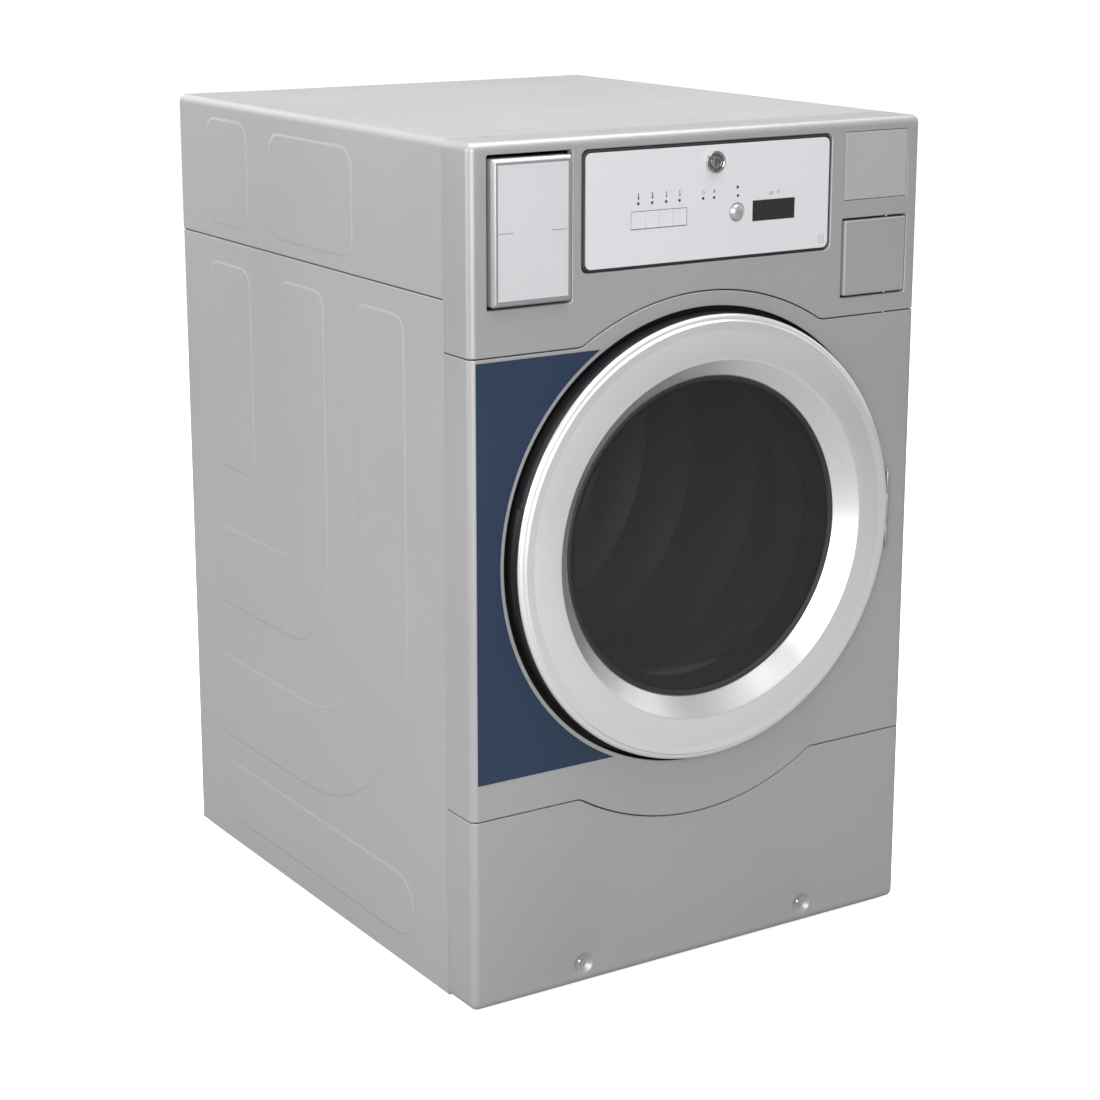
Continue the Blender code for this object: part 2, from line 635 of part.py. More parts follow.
def knuckle(name, low, high):
    return extra_rod(name, KNUCKLE_R, (HINGE_X, HINGE_Y, (low + high) / 2), high - low, "Z", 16)


def build_hinge():
    """A fixed bracket with the pin in it, and a leaf whose two knuckles turn on the pin."""
    mid = (DOOR_Z - 0.0210, DOOR_Z + 0.0210)
    ends = ((DOOR_Z - 0.050, mid[0] - 0.0005), (mid[1] + 0.0005, DOOR_Z + 0.050))
    pin = rod("hinge_bracket", PIN_R, (HINGE_X, HINGE_Y, DOOR_Z), 0.110, "Z", "stainless", 12)
    fixed_x = (HINGE_X + 0.0008, HINGE_X + 0.0023)
    join(pin, knuckle("fixed_knuckle", *mid),
         extra_box("fixed_strap", fixed_x, (HINGE_Y, RECESS_Y - GAP), mid),
         extra_box("fixed_foot", (HINGE_X - 0.030, fixed_x[1]), (RECESS_Y - 0.0023, RECESS_Y - 0.0008), mid))
    leaf = block("hinge_leaf", (0.240, HINGE_X - 0.0008), (FRONT_Y + 0.0055, FRONT_Y + 0.0070),
                 (DOOR_Z - 0.050, DOOR_Z + 0.050), "stainless")
    for i, (low, high) in enumerate(ends):
        strap_x = (HINGE_X - 0.0018, HINGE_X - 0.0003)
        strap = extra_box("leaf_strap_%d" % i, strap_x, (HINGE_Y, FRONT_Y + 0.0065),
                          (low + 0.0005, high - 0.0005))
        join(leaf, strap, knuckle("leaf_knuckle_%d" % i, low + 0.0002, high - 0.0002))
    for i, span in enumerate(ends):
        place = (HINGE_X, HINGE_Y, (span[0] + span[1]) / 2)
        cut(leaf, hole_rod("pin_bore_%d" % i, PIN_R + GAP, place, span[1] - span[0] + 0.01, "Z", 12))
    return leaf


def build_surround():
    """The dark ring that the door closes into, with the catch and the door switch behind it."""
    floor, wall, thick = RECESS_Y, RECESS_R + GAP, 0.0025
    rim = FRONT_Y + SHEET + GAP
    outline = [(wall + thick, floor + thick), (wall + thick, rim), (wall, rim)]
    outline += [(wall, floor), (THROAT_R, floor), (THROAT_R, floor + thick)]
    surround = turned("door_surround", outline, (0, FRONT_Y, DOOR_Z), "black_plastic", 72)
    slot_x = (STRIKE_X - 0.0075, STRIKE_X + 0.0050)
    slot_z = (DOOR_Z - 0.014, DOOR_Z + 0.014)
    cut(surround, hole_box("strike_slot", slot_x, (floor - 0.01, floor + 0.01), slot_z))
    cut(surround, hole_rod("plunger_bore", PLUNGER_R + 0.0004, (PLUNGER_X, floor, PLUNGER_Z), 0.02, "Y", 16))
    catch = block("door_catch", (STRIKE_X - 0.0160, STRIKE_X + 0.0130), (floor + thick + GAP, floor + 0.0220),
                  (DOOR_Z - 0.024, DOOR_Z + 0.024), "white_plastic")
    cut(catch, hole_box("catch_pocket", slot_x, (floor - 0.01, floor + 0.0190), slot_z))
    plunger = rod("door_switch_plunger", PLUNGER_R, (PLUNGER_X, FRONT_Y + 0.0180, PLUNGER_Z), 0.0240, "Y",
                  "white_plastic", 16)
    hang(axis_empty("door_switch_axis", (PLUNGER_X, FRONT_Y + 0.0060, PLUNGER_Z)), plunger)


def build_drum():
    centre = (0, 0, DOOR_Z)
    inner = DRUM_R - DRUM_WALL
    outline = [(0.0, DRUM_REAR), (DRUM_R, DRUM_REAR), (DRUM_R, DRUM_FRONT), (DRUM_MOUTH_R, DRUM_FRONT)]
    outline += [(DRUM_MOUTH_R, DRUM_FRONT + DRUM_WALL), (inner, DRUM_FRONT + DRUM_WALL)]
    outline += [(inner, DRUM_REAR - DRUM_WALL), (0.0, DRUM_REAR - DRUM_WALL)]
    drum = turned("drum_shell", outline, centre, "stainless", 64, closed=False)
    holes, circle, hole_r = 10, 0.235, 0.034
    for i in range(holes):
        angle = 2 * math.pi * (i + 0.5) / holes
        place = (circle * math.cos(angle), DRUM_REAR, DOOR_Z + circle * math.sin(angle))
        cut(drum, hole_rod("drum_hole_%d" % i, hole_r, place, 0.03, "Y", 12))
    pivot = axis_empty("drum_axis", centre)
    hang(pivot, drum)
    for i in range(3):
        hang(pivot, build_baffle(i, centre, inner))


def build_baffle(i, centre, inner):
    """A folded sheet rib, open at both ends, standing on the drum's inner wall."""
    outer = [(-0.034, 0.0), (0.034, 0.0), (0.010, 0.070), (0.0, 0.074), (-0.010, 0.070)]
    hollow = [(-0.0318, 0.0015), (0.0318, 0.0015), (0.0088, 0.0688), (0.0, 0.0722), (-0.0088, 0.0688)]
    baffle = plate("drum_baffle_%d" % (i + 1), outer, (DRUM_FRONT + 0.030, DRUM_REAR - 0.030), "stainless",
                   holes=(hollow,))
    turn = Matrix.Rotation(math.radians(90 + 120 * i), 4, "Y")
    stand = Matrix.Translation((0, 0, 0.0032 - inner))
    baffle.matrix_world = Matrix.Translation(centre) @ turn @ stand @ baffle.matrix_world
    return baffle


def build_bulkheads():
    wide, top = 0.336, 0.900
    front = block("front_bulkhead", (-wide, wide), (BULKHEAD_Y, BULKHEAD_Y + SHEET), (BASE_Z + 0.024, top),
                  "galvanised")
    outer = THROAT_R + 0.0015
    cut(front, hole_rod("bulkhead_mouth", outer - 0.0005, (0, BULKHEAD_Y, DOOR_Z), 0.03, "Y", 64))
    throat_y = (RECESS_Y + 0.0028, DRUM_FRONT + 0.010)
    join(front, tube("add_throat", outer, THROAT_R, throat_y, (0, DOOR_Z), None, 64, cutters))
    cut(front, hole_box("filter_slot", (-0.104, 0.104), (FILTER_Y - 0.010, FILTER_Y + 0.010), (0.340, 0.412)))
    cut(front, hole_rod("blower_inlet", INLET_R, (MOTOR_X, BULKHEAD_Y, MOTOR_Z), 0.03))
    rear_y = (REAR_BULKHEAD_Y, REAR_BULKHEAD_Y + SHEET)
    rear = block("rear_bulkhead", (-wide, wide), rear_y, (0.175, top + 0.0035), "galvanised")
    hot_air_y = (REAR_BULKHEAD_Y - 0.01, REAR_BULKHEAD_Y + 0.01)
    cut(rear, hole_box("hot_air", (0.060, 0.250), hot_air_y, (0.480, 0.760)))
    axle_r = 0.0060
    for side, tag in ((-1, "left"), (1, "right")):
        x, z = roller_place(side)
        join(rear, extra_rod("axle_" + tag, axle_r, (x, REAR_BULKHEAD_Y - 0.0240, z), 0.0500, "Y", 16))
        roller = tube("support_roller_" + tag, ROLLER_R, axle_r + 0.0004, ROLLER_SPAN, (x, z), "rubber", 32)
        hang(axis_empty("roller_axis_" + tag, (x, sum(ROLLER_SPAN) / 2, z)), roller)


def roller_place(side):
    reach = DRUM_R + ROLLER_R + GAP
    return side * ROLLER_SIDE, DOOR_Z - math.sqrt(reach ** 2 - ROLLER_SIDE ** 2)


def build_filter():
    duct = shell("filter_duct", (-0.112, 0.160), (FILTER_Y - 0.0135, BULKHEAD_Y - 0.0008), (0.070, 0.352),
                 "galvanised", [(0, 0, 1)])
    cut(duct, hole_rod("duct_outlet", INLET_R, (MOTOR_X, BULKHEAD_Y, MOTOR_Z), 0.02))
    half, low, high = 0.100, 0.190, 0.390
    frame_y = (FILTER_Y - 0.005, FILTER_Y + 0.005)
    screen = block("lint_filter", (-half, half), frame_y, (low, high), "white_plastic")
    for i, y in enumerate(((FILTER_Y - 0.0075, FILTER_Y - 0.0005), (FILTER_Y + 0.0005, FILTER_Y + 0.0125))):
        for j, x in enumerate(((0.008 - half, -0.003), (0.003, half - 0.008))):
            cut(screen, hole_box("screen_%d_%d" % (i, j), x, y, (low + 0.010, high - 0.030)))
    hang(axis_empty("filter_axis", (0, FILTER_Y, low)), screen)


def leaning(first, second, same):
    """The heading from one circle to the next, and how far a belt's straight run leans off it.

    same says whether the belt wraps both circles on the same side. A circle is (centre, radius).
    """
    gap = Vector(second[0]) - Vector(first[0])
    spread = first[1] - second[1] if same else first[1] + second[1]
    return math.atan2(gap.y, gap.x), math.acos(spread / gap.length)


def belt_loop(grow):
    """The belt's outline as one closed loop, grow being its offset from the pulley surfaces."""
    full = 2 * math.pi
    drum = ((0.0, DOOR_Z), DRUM_R + grow)
    pulley = ((MOTOR_X, MOTOR_Z), PULLEY_R + grow)
    idler = ((IDLER_X, IDLER_Z), IDLER_R + BELT_T + BELT_GAP + GAP - grow)
    heading, lean = leaning(pulley, drum, True)
    up = heading - lean
    heading, lean = leaning(drum, idler, False)
    down = heading - lean
    heading, lean = leaning(idler, pulley, False)
    across = heading + lean

    def sweep(circle, start, end, count):
        return arc(*circle, math.degrees(start), math.degrees(end), count)

    points = sweep(drum, up, down if down > up else down + full, 60)
    start, end = down + math.pi, across
    while end > start:
        end -= full
    points += sweep(idler, start, end, 5)
    start = across + math.pi
    while start > up:
        start -= full
    return points + sweep(pulley, start, up, 8)


def build_belt():
    plate("drive_belt", belt_loop(BELT_GAP + BELT_T), (-BELT_W / 2, BELT_W / 2), "rubber",
          holes=(belt_loop(BELT_GAP),))


def on_motor(y):
    """A point on the motor's axis."""
    return (MOTOR_X, y, MOTOR_Z)


def build_drive():
    build_motor()
    build_blower_wheel()
    arm = plate("idler_arm", arm_outline(), (-0.0145, -0.0115), "galvanised")
    cut(arm, hole_rod("arm_bore", IDLER_AXLE_R + 0.0004, (PIVOT_X, -0.013, PIVOT_Z), 0.02, "Y", 12))
    join(arm, extra_rod("idler_axle", IDLER_AXLE_R, (IDLER_X, -0.0040, IDLER_Z), 0.0180, "Y", 12))
    hang(axis_empty("idler_arm_axis", (PIVOT_X, 0, PIVOT_Z)), arm)
    wheel = tube("idler_pulley", IDLER_R, IDLER_AXLE_R + 0.0004, (-0.0070, 0.0060), (IDLER_X, IDLER_Z),
                 "motor_steel", 24)
    hang(axis_empty("idler_pulley_axis", (IDLER_X, 0, IDLER_Z)), wheel)


def build_motor():
    """A hollow motor can on a folded bracket, and its shaft with the belt pulley."""
    middle = -0.100
    motor = rod("motor_body", MOTOR_R, on_motor(middle), 0.140, "Y", "motor_steel", 32)
    cut(motor, hole_rod("motor_hollow", MOTOR_R - 0.012, on_motor(middle), 0.116, "Y", 32))
    cut(motor, hole_rod("motor_bore", SHAFT_R + 0.0015, on_motor(middle), 0.20, "Y", 16))
    side, front, back = (0.010, 0.160), -0.160, -0.0210
    bracket = block("motor_bracket", side, (back - 0.0030, back), (PAN_TOP, 0.200), "galvanised")
    join(bracket, extra_box("motor_foot", side, (front, back), (PAN_TOP, PAN_TOP + 0.0030)),
         extra_rod("idler_pivot", IDLER_AXLE_R, (PIVOT_X, -0.0150, PIVOT_Z), 0.0165, "Y", 12))
    cut(bracket, hole_rod("bracket_bore", 0.0140, on_motor(back - 0.0015), 0.02, "Y", 24))
    shaft = rod("motor_shaft", SHAFT_R, on_motor(-0.1365), 0.2970, "Y", "motor_steel", 16)
    join(shaft, extra_rod("belt_pulley", PULLEY_R, on_motor(0), 0.0160, "Y", 24))
    hang(axis_empty("motor_axis", on_motor(0)), shaft)


def build_blower_wheel():
    """A back plate with a hub and a ring of slanted vanes, on the motor's shaft."""
    vanes, vane_circle, slant = 12, 0.0680, 0.6
    plate_y = -0.2340
    wheel = rod("blower_wheel", 0.0820, on_motor(plate_y), 0.0030, "Y", "galvanised", 32)
    join(wheel, extra_rod("wheel_hub", 0.0140, on_motor(plate_y - 0.0110), 0.0220, "Y", 16))
    for i in range(vanes):
        vane = extra_box("vane_%d" % i, (-0.0130, 0.0130), (-0.0300, 0.0300), (-0.0008, 0.0008))
        turn = Matrix.Rotation(-2 * math.pi * i / vanes, 4, "Y")
        turn = turn @ Matrix.Translation((vane_circle, 0, 0)) @ Matrix.Rotation(slant, 4, "Y")
        vane.matrix_world = Matrix.Translation(on_motor(plate_y - 0.0290)) @ turn
        join(wheel, vane)
    cut(wheel, hole_rod("wheel_bore", SHAFT_R + GAP, on_motor(plate_y), 0.06, "Y", 16))
    hang(axis_empty("blower_axis", on_motor(plate_y)), wheel)


def arm_outline():
    """A flat link with round ends, from the pivot to the idler's axle."""
    heading = math.degrees(math.atan2(IDLER_Z - PIVOT_Z, IDLER_X - PIVOT_X))
    return (arc((IDLER_X, IDLER_Z), 0.009, heading - 90, heading + 90, 5)
            + arc((PIVOT_X, PIVOT_Z), 0.009, heading + 90, heading + 270, 5))


def build_air():
    """A drum-shaped blower housing with a chute to one side, and the duct from it out of the back."""
    middle, deep, wall = -0.2640, 0.0920, 0.0020
    low, high, reach = 0.0460, 0.1560, 0.052
    housing = rod("blower_housing", BLOWER_R, on_motor(middle), deep, "Y", "galvanised", 40)
    front, back = middle - deep / 2 + 0.0006, middle + deep / 2 - 0.0006
    join(housing, extra_box("chute", (DUCT_X - reach, MOTOR_X), (front, back), (low, high)))
    cut(housing, hole_rod("blower_core", BLOWER_R - wall, on_motor(middle), deep - 2 * wall, "Y", 40))
    hollow_x = (DUCT_X - reach + wall, MOTOR_X + 0.010)
    cut(housing, hole_box("chute_hollow", hollow_x, (front + wall, back - wall), (low + wall, high - wall)))
    cut(housing, hole_rod("blower_eye", INLET_R - 0.002, on_motor(front), 0.02))
    cut(housing, hole_rod("blower_shaft_hole", 0.0160, on_motor(back), 0.02, "Y", 16))
    cut(housing, hole_rod("blower_outlet", DUCT_R - 0.0030, (DUCT_X, back, DUCT_Z), 0.02))
    duct_y = (middle + deep / 2 + GAP, REAR_Y + 0.0300)
    tube("exhaust_duct", DUCT_R, DUCT_R - 0.0010, duct_y, (DUCT_X, DUCT_Z), "galvanised", 48)


def build_heater():
    """A box open to the rear bulkhead, with one element bent to and fro inside it."""
    back = REAR_BULKHEAD_Y + SHEET + GAP
    box_y = (back, REAR_Y - 0.0090)
    shell("heater_housing", (0.045, 0.265), box_y, (0.465, 0.775), "galvanised", [(0, -1, 0)])
    curve = bpy.data.curves.new("heating_element", "CURVE")
    curve.dimensions = "3D"
    curve.bevel_depth = 0.0030
    curve.bevel_resolution = 1
    curve.use_fill_caps = True
    runs, pitch, near, far = 7, 0.040, 0.075, 0.235
    points = []
    for i in range(runs):
        z = 0.500 + pitch * i
        ends = (near, far) if i % 2 == 0 else (far, near)
        points += [(ends[0], z), (ends[1], z)]
    spline = curve.splines.new("POLY")
    spline.points.add(len(points) - 1)
    for slot, (x, z) in zip(spline.points, points):
        slot.co = (x, back + 0.0322, z, 1)
    made = bpy.data.objects.new("heating_element", curve)
    curve.materials.append(FINISH["element"])
    parts.objects.link(made)


build_base()
build_feet()
build_side(-1)
build_side(1)
build_hood()
build_front()
build_film()
build_rear()
build_covers()
build_controls()
build_lock()
build_door()
build_surround()
build_drum()
build_bulkheads()
build_filter()
build_belt()
build_drive()
build_air()
build_heater()
bpy.context.view_layer.update()
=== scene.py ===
import math

import bmesh
import bpy
from mathutils import Matrix, Vector


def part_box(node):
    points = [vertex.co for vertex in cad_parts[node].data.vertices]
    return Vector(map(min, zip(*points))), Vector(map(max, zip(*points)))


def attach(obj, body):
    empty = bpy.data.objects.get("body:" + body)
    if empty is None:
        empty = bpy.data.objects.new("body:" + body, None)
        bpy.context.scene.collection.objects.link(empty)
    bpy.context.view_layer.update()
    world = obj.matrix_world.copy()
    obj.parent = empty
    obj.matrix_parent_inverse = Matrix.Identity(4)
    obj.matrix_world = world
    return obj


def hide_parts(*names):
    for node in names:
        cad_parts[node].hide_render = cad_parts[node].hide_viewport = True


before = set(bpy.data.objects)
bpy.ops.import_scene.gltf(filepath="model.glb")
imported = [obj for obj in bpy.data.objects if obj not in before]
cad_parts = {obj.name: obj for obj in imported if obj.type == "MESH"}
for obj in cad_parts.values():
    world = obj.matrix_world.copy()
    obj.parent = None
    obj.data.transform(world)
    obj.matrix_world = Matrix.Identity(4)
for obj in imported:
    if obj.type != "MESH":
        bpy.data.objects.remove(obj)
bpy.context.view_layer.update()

# the camera comes first
view = {
    "place": (-1.8086, -2.8474, 1.3949),
    "azimuth": -32.799,
    "elevation": 13.535,
    "roll": 0.07,
    "lens": 80.774,
    "shiftY": -0.07,
}

# sizes that several pieces share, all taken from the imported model
skinLow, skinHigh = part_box("control_fascia")
ringLow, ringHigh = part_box("door_ring")
hoodLow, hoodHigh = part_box("top_hood")
drumLow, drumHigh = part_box("drum_shell")
cabinet = {
    "halfWidth": skinHigh.x,
    "frontY": skinLow.y,
    "rearY": hoodHigh.y,
    "topZ": skinHigh.z,
    "baseZ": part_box("lower_access_panel")[0].z,
    "wrapEnd": skinHigh.y,
    "wrapStart": hoodLow.y,
    "hoodZ": hoodLow.z,
    "sideTopZ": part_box("side_panel_left")[1].z,
    "cornerRadius": 0.010,
    "foldRadius": 0.0011,
    "returnDepth": 0.0055,
    "sheet": 0.0009,
    "emboss": 0.001,
}
halfWidth, frontY, rearY = cabinet["halfWidth"], cabinet["frontY"], cabinet["rearY"]
topZ, baseZ = cabinet["topZ"], cabinet["baseZ"]
doorZ = (ringLow.z + ringHigh.z) / 2
doorRadius = (ringHigh.z - ringLow.z) / 2
ringFace = ringLow.y
recessRadius = 0.2965
recessFloor = frontY + 0.022


# materials, all procedural, in object coordinates

def nodeOf(tree, kind, **values):
    made = tree.nodes.new(kind)
    for name, value in values.items():
        if name in made.inputs:
            made.inputs[name].default_value = value
        else:
            setattr(made, name, value)
    return made


def spreadOf(tree, source, low, high):
    ramp = nodeOf(tree, "ShaderNodeMapRange")
    ramp.inputs["From Min"].default_value = 0.3
    ramp.inputs["From Max"].default_value = 0.7
    ramp.inputs["To Min"].default_value = low
    ramp.inputs["To Max"].default_value = high
    tree.links.new(source, ramp.inputs["Value"])
    return ramp.outputs["Result"]


def makeFinish(name, look):
    made = bpy.data.materials.new(name)
    made.use_nodes = True
    tree = made.node_tree
    shader = tree.nodes["Principled BSDF"]
    shader.inputs["Metallic"].default_value = look.get("metal", 0.0)
    shader.inputs["Alpha"].default_value = look.get("alpha", 1.0)
    shader.inputs["Coat Weight"].default_value = look.get("coat", 0.0)
    shader.inputs["Coat Roughness"].default_value = look.get("coatRoughness", 0.1)
    shader.inputs["Specular IOR Level"].default_value = look.get("specular", 0.5)
    place = nodeOf(tree, "ShaderNodeTexCoord")
    turned = nodeOf(tree, "ShaderNodeMapping")
    turned.inputs["Scale"].default_value = look.get("stretch", (1, 1, 1))
    tree.links.new(place.outputs["Object"], turned.inputs["Vector"])
    # broad drift of tone over the piece, then the close grain
    broad = nodeOf(tree, "ShaderNodeTexNoise", Scale=look.get("driftScale", 5.0), Detail=3.0)
    tree.links.new(place.outputs["Object"], broad.inputs["Vector"])
    if look.get("spangle"):
        close = nodeOf(tree, "ShaderNodeTexVoronoi", Scale=look["grainScale"])
        closeValue = nodeOf(tree, "ShaderNodeSeparateColor")
        tree.links.new(close.outputs["Color"], closeValue.inputs["Color"])
        closeOut = closeValue.outputs["Red"]
    else:
        close = nodeOf(tree, "ShaderNodeTexNoise", Scale=look["grainScale"], Detail=look.get("detail", 2.0))
        closeOut = close.outputs["Fac"]
    tree.links.new(turned.outputs["Vector"], close.inputs["Vector"])
    tint = nodeOf(tree, "ShaderNodeMix", data_type="RGBA")
    colour, drift, grain = look["colour"], look.get("drift", 0.03), look.get("grain", 0.05)
    second = look.get("second", [min(1.0, part * (1 + grain)) for part in colour])
    first = look.get("first", [part * (1 - grain) for part in colour])
    tint.inputs["A"].default_value = (*first, 1)
    tint.inputs["B"].default_value = (*second, 1)
    tree.links.new(spreadOf(tree, closeOut, 0.0, 1.0), tint.inputs["Factor"])
    tone = nodeOf(tree, "ShaderNodeHueSaturation")
    tree.links.new(tint.outputs["Result"], tone.inputs["Color"])
    tree.links.new(spreadOf(tree, broad.outputs["Fac"], 1 - drift, 1 + drift), tone.inputs["Value"])
    tree.links.new(tone.outputs["Color"], shader.inputs["Base Color"])
    rough, spread = look["rough"], look.get("roughSpread", 0.04)
    source = closeOut if look.get("spangle") else broad.outputs["Fac"]
    tree.links.new(spreadOf(tree, source, rough - spread, rough + spread), shader.inputs["Roughness"])
    if look.get("bump"):
        fine = nodeOf(tree, "ShaderNodeTexNoise", Scale=look.get("bumpScale", look["grainScale"]), Detail=2.0)
        tree.links.new(turned.outputs["Vector"], fine.inputs["Vector"])
        relief = nodeOf(tree, "ShaderNodeBump", Strength=look["bump"], Distance=look.get("bumpDepth", 0.0002))
        tree.links.new(fine.outputs["Fac"], relief.inputs["Height"])
        tree.links.new(relief.outputs["Normal"], shader.inputs["Normal"])
    return made


looks = {
    "sidePaint": {"colour": (0.355, 0.355, 0.355), "rough": 0.46, "metal": 0.10, "grainScale": 900,
                  "grain": 0.03,
                  "drift": 0.012, "bump": 0.10, "bumpScale": 420, "bumpDepth": 0.00006},
    "frontPaint": {"colour": (0.392, 0.388, 0.396), "rough": 0.40, "metal": 0.35, "grainScale": 900,
                   "grain": 0.04,
                   "drift": 0.012, "bump": 0.10, "bumpScale": 420, "bumpDepth": 0.00005},
    "ringSatin": {"colour": (0.83, 0.83, 0.845), "rough": 0.33, "metal": 0.66, "grainScale": 1400,
                  "grain": 0.02,
                  "drift": 0.01, "bump": 0.06, "bumpScale": 700, "bumpDepth": 0.00004, "coat": 0.15},
    "ringPolished": {"colour": (0.88, 0.885, 0.90), "rough": 0.30, "metal": 0.88, "grainScale": 600,
                     "grain": 0.02, "drift": 0.01},
    # painted dark reflection: the silver ring's outer wall is coloured near black to stand for the dark
    # recess it mirrors
    "ringWall": {"colour": (0.12, 0.12, 0.125), "rough": 0.30, "metal": 0.9, "grainScale": 900, "grain": 0.04,
                 "bump": 0.04, "bumpDepth": 0.00004},
    "buttonSilver": {"colour": (0.50, 0.50, 0.51), "rough": 0.34, "metal": 0.6, "grainScale": 1500,
                     "grain": 0.02,
                     "bump": 0.04, "bumpDepth": 0.00003},
    "cardWhite": {"colour": (0.535, 0.540, 0.556), "rough": 0.40, "grainScale": 1200, "grain": 0.012,
                  "bump": 0.03, "bumpDepth": 0.00003},
    "blankPaint": {"colour": (0.470, 0.466, 0.474), "rough": 0.40, "metal": 0.35, "grainScale": 900,
                   "grain": 0.04,
                   "bump": 0.10, "bumpDepth": 0.00005},
    "plateWhite": {"colour": (0.600, 0.606, 0.625), "rough": 0.38, "grainScale": 1200, "grain": 0.012,
                   "drift": 0.008, "bump": 0.05, "bumpScale": 900, "bumpDepth": 0.00003},
    "plateRim": {"colour": (0.40, 0.41, 0.42), "rough": 0.34, "metal": 0.5, "grainScale": 900, "grain": 0.03,
                 "bump": 0.05, "bumpDepth": 0.00004},
    "navyFilm": {"colour": (0.020, 0.036, 0.072), "rough": 0.42, "specular": 0.3, "grainScale": 260,
                 "grain": 0.07, "drift": 0.05,
                 "bump": 0.05, "bumpScale": 500, "bumpDepth": 0.00004},
    "inkDark": {"colour": (0.022, 0.024, 0.030), "rough": 0.5, "grainScale": 1500, "grain": 0.1},
    "inkGrey": {"colour": (0.16, 0.17, 0.19), "rough": 0.5, "grainScale": 1500, "grain": 0.08},
    "keyGrey": {"colour": (0.60, 0.61, 0.63), "rough": 0.42, "grainScale": 1500, "grain": 0.015,
                "bump": 0.05, "bumpScale": 1500, "bumpDepth": 0.00003},
    "galvanised": {"colour": (0.52, 0.53, 0.54), "rough": 0.44, "metal": 0.75, "grainScale": 190,
                   "spangle": True,
                   "grain": 0.05, "drift": 0.03, "roughSpread": 0.035},
    "hingeGrey": {"colour": (0.33, 0.33, 0.335), "rough": 0.42, "metal": 0.5, "grainScale": 700,
                  "grain": 0.05,
                  "bump": 0.06, "bumpDepth": 0.00005},
    "stainless": {"colour": (0.50, 0.50, 0.505), "rough": 0.30, "metal": 1.0, "grainScale": 60,
                  "stretch": (1, 24, 24), "grain": 0.09, "drift": 0.04, "detail": 4.0, "bump": 0.12,
                  "bumpDepth": 0.00005},
    "drumSteel": {"colour": (0.50, 0.50, 0.505), "rough": 0.36, "metal": 0.75, "grainScale": 40,
                  "stretch": (14, 1, 14), "grain": 0.08, "drift": 0.05, "detail": 4.0},
    "chrome": {"colour": (0.70, 0.69, 0.68), "rough": 0.15, "metal": 1.0, "grainScale": 500, "grain": 0.04,
               "bump": 0.04, "bumpDepth": 0.00003},
    "blackPlastic": {"colour": (0.018, 0.018, 0.019), "rough": 0.46, "grainScale": 900, "grain": 0.12,
                     "bump": 0.22, "bumpScale": 1500, "bumpDepth": 0.00008},
    "rubber": {"colour": (0.017, 0.017, 0.018), "rough": 0.62, "grainScale": 500, "grain": 0.16,
               "bump": 0.25, "bumpScale": 900, "bumpDepth": 0.0001},
    "whitePlastic": {"colour": (0.62, 0.62, 0.60), "rough": 0.44, "grainScale": 700, "grain": 0.02,
                     "bump": 0.12, "bumpScale": 1200, "bumpDepth": 0.00006},
    "windowGlass": {"colour": (0.020, 0.021, 0.023), "rough": 0.04, "roughSpread": 0.015, "grainScale": 40,
                    "grain": 0.05, "alpha": 0.56, "driftScale": 9},
    "displayGlass": {"colour": (0.026, 0.026, 0.027), "rough": 0.12, "grainScale": 300, "grain": 0.1,
                     "coat": 0.4},
    "motorSteel": {"colour": (0.20, 0.21, 0.22), "rough": 0.48, "metal": 0.75, "grainScale": 220,
                   "grain": 0.12, "bump": 0.15, "bumpDepth": 0.0001},
    "boardGreen": {"colour": (0.03, 0.15, 0.06), "rough": 0.42, "grainScale": 260, "spangle": True,
                   "grain": 0.4,
                   "bump": 0.2, "bumpDepth": 0.0002},
    "heatedWire": {"colour": (0.30, 0.24, 0.20), "rough": 0.5, "metal": 0.85, "grainScale": 60, "grain": 0.3,
                   "first": (0.16, 0.12, 0.11), "second": (0.40, 0.36, 0.33), "bump": 0.2,
                   "bumpDepth": 0.0002},
    "filterMesh": {"colour": (0.52, 0.53, 0.54), "rough": 0.45, "metal": 0.5, "grainScale": 800,
                   "grain": 0.08,
                   "bump": 0.1},
}
finishes = {name: makeFinish(name, look) for name, look in looks.items()}
# the record's slot that each finish belongs to; the first one named for a slot also goes on its CAD nodes
slotOf = {
    "sidePaint": "side_paint", "frontPaint": "front_paint", "blankPaint": "front_paint",
    "ringSatin": "ring_silver", "ringPolished": "ring_silver", "ringWall": "ring_silver",
    "plateWhite": "white_plate", "plateRim": "white_plate", "cardWhite": "white_plate",
    "keyGrey": "white_plate",
    "navyFilm": "navy_film", "blackPlastic": "black_plastic", "inkDark": "black_plastic",
    "inkGrey": "black_plastic", "galvanised": "galvanised", "stainless": "stainless",
    "hingeGrey": "stainless",
    "drumSteel": "stainless", "chrome": "chrome", "buttonSilver": "chrome", "rubber": "rubber",
    "whitePlastic": "white_plastic", "filterMesh": "white_plastic", "windowGlass": "dark_glass",
    "displayGlass": "dark_glass", "motorSteel": "motor_steel", "boardGreen": "board_green",
    "heatedWire": "element",
}
print("finishes:", len(finishes))


# helpers for making pieces

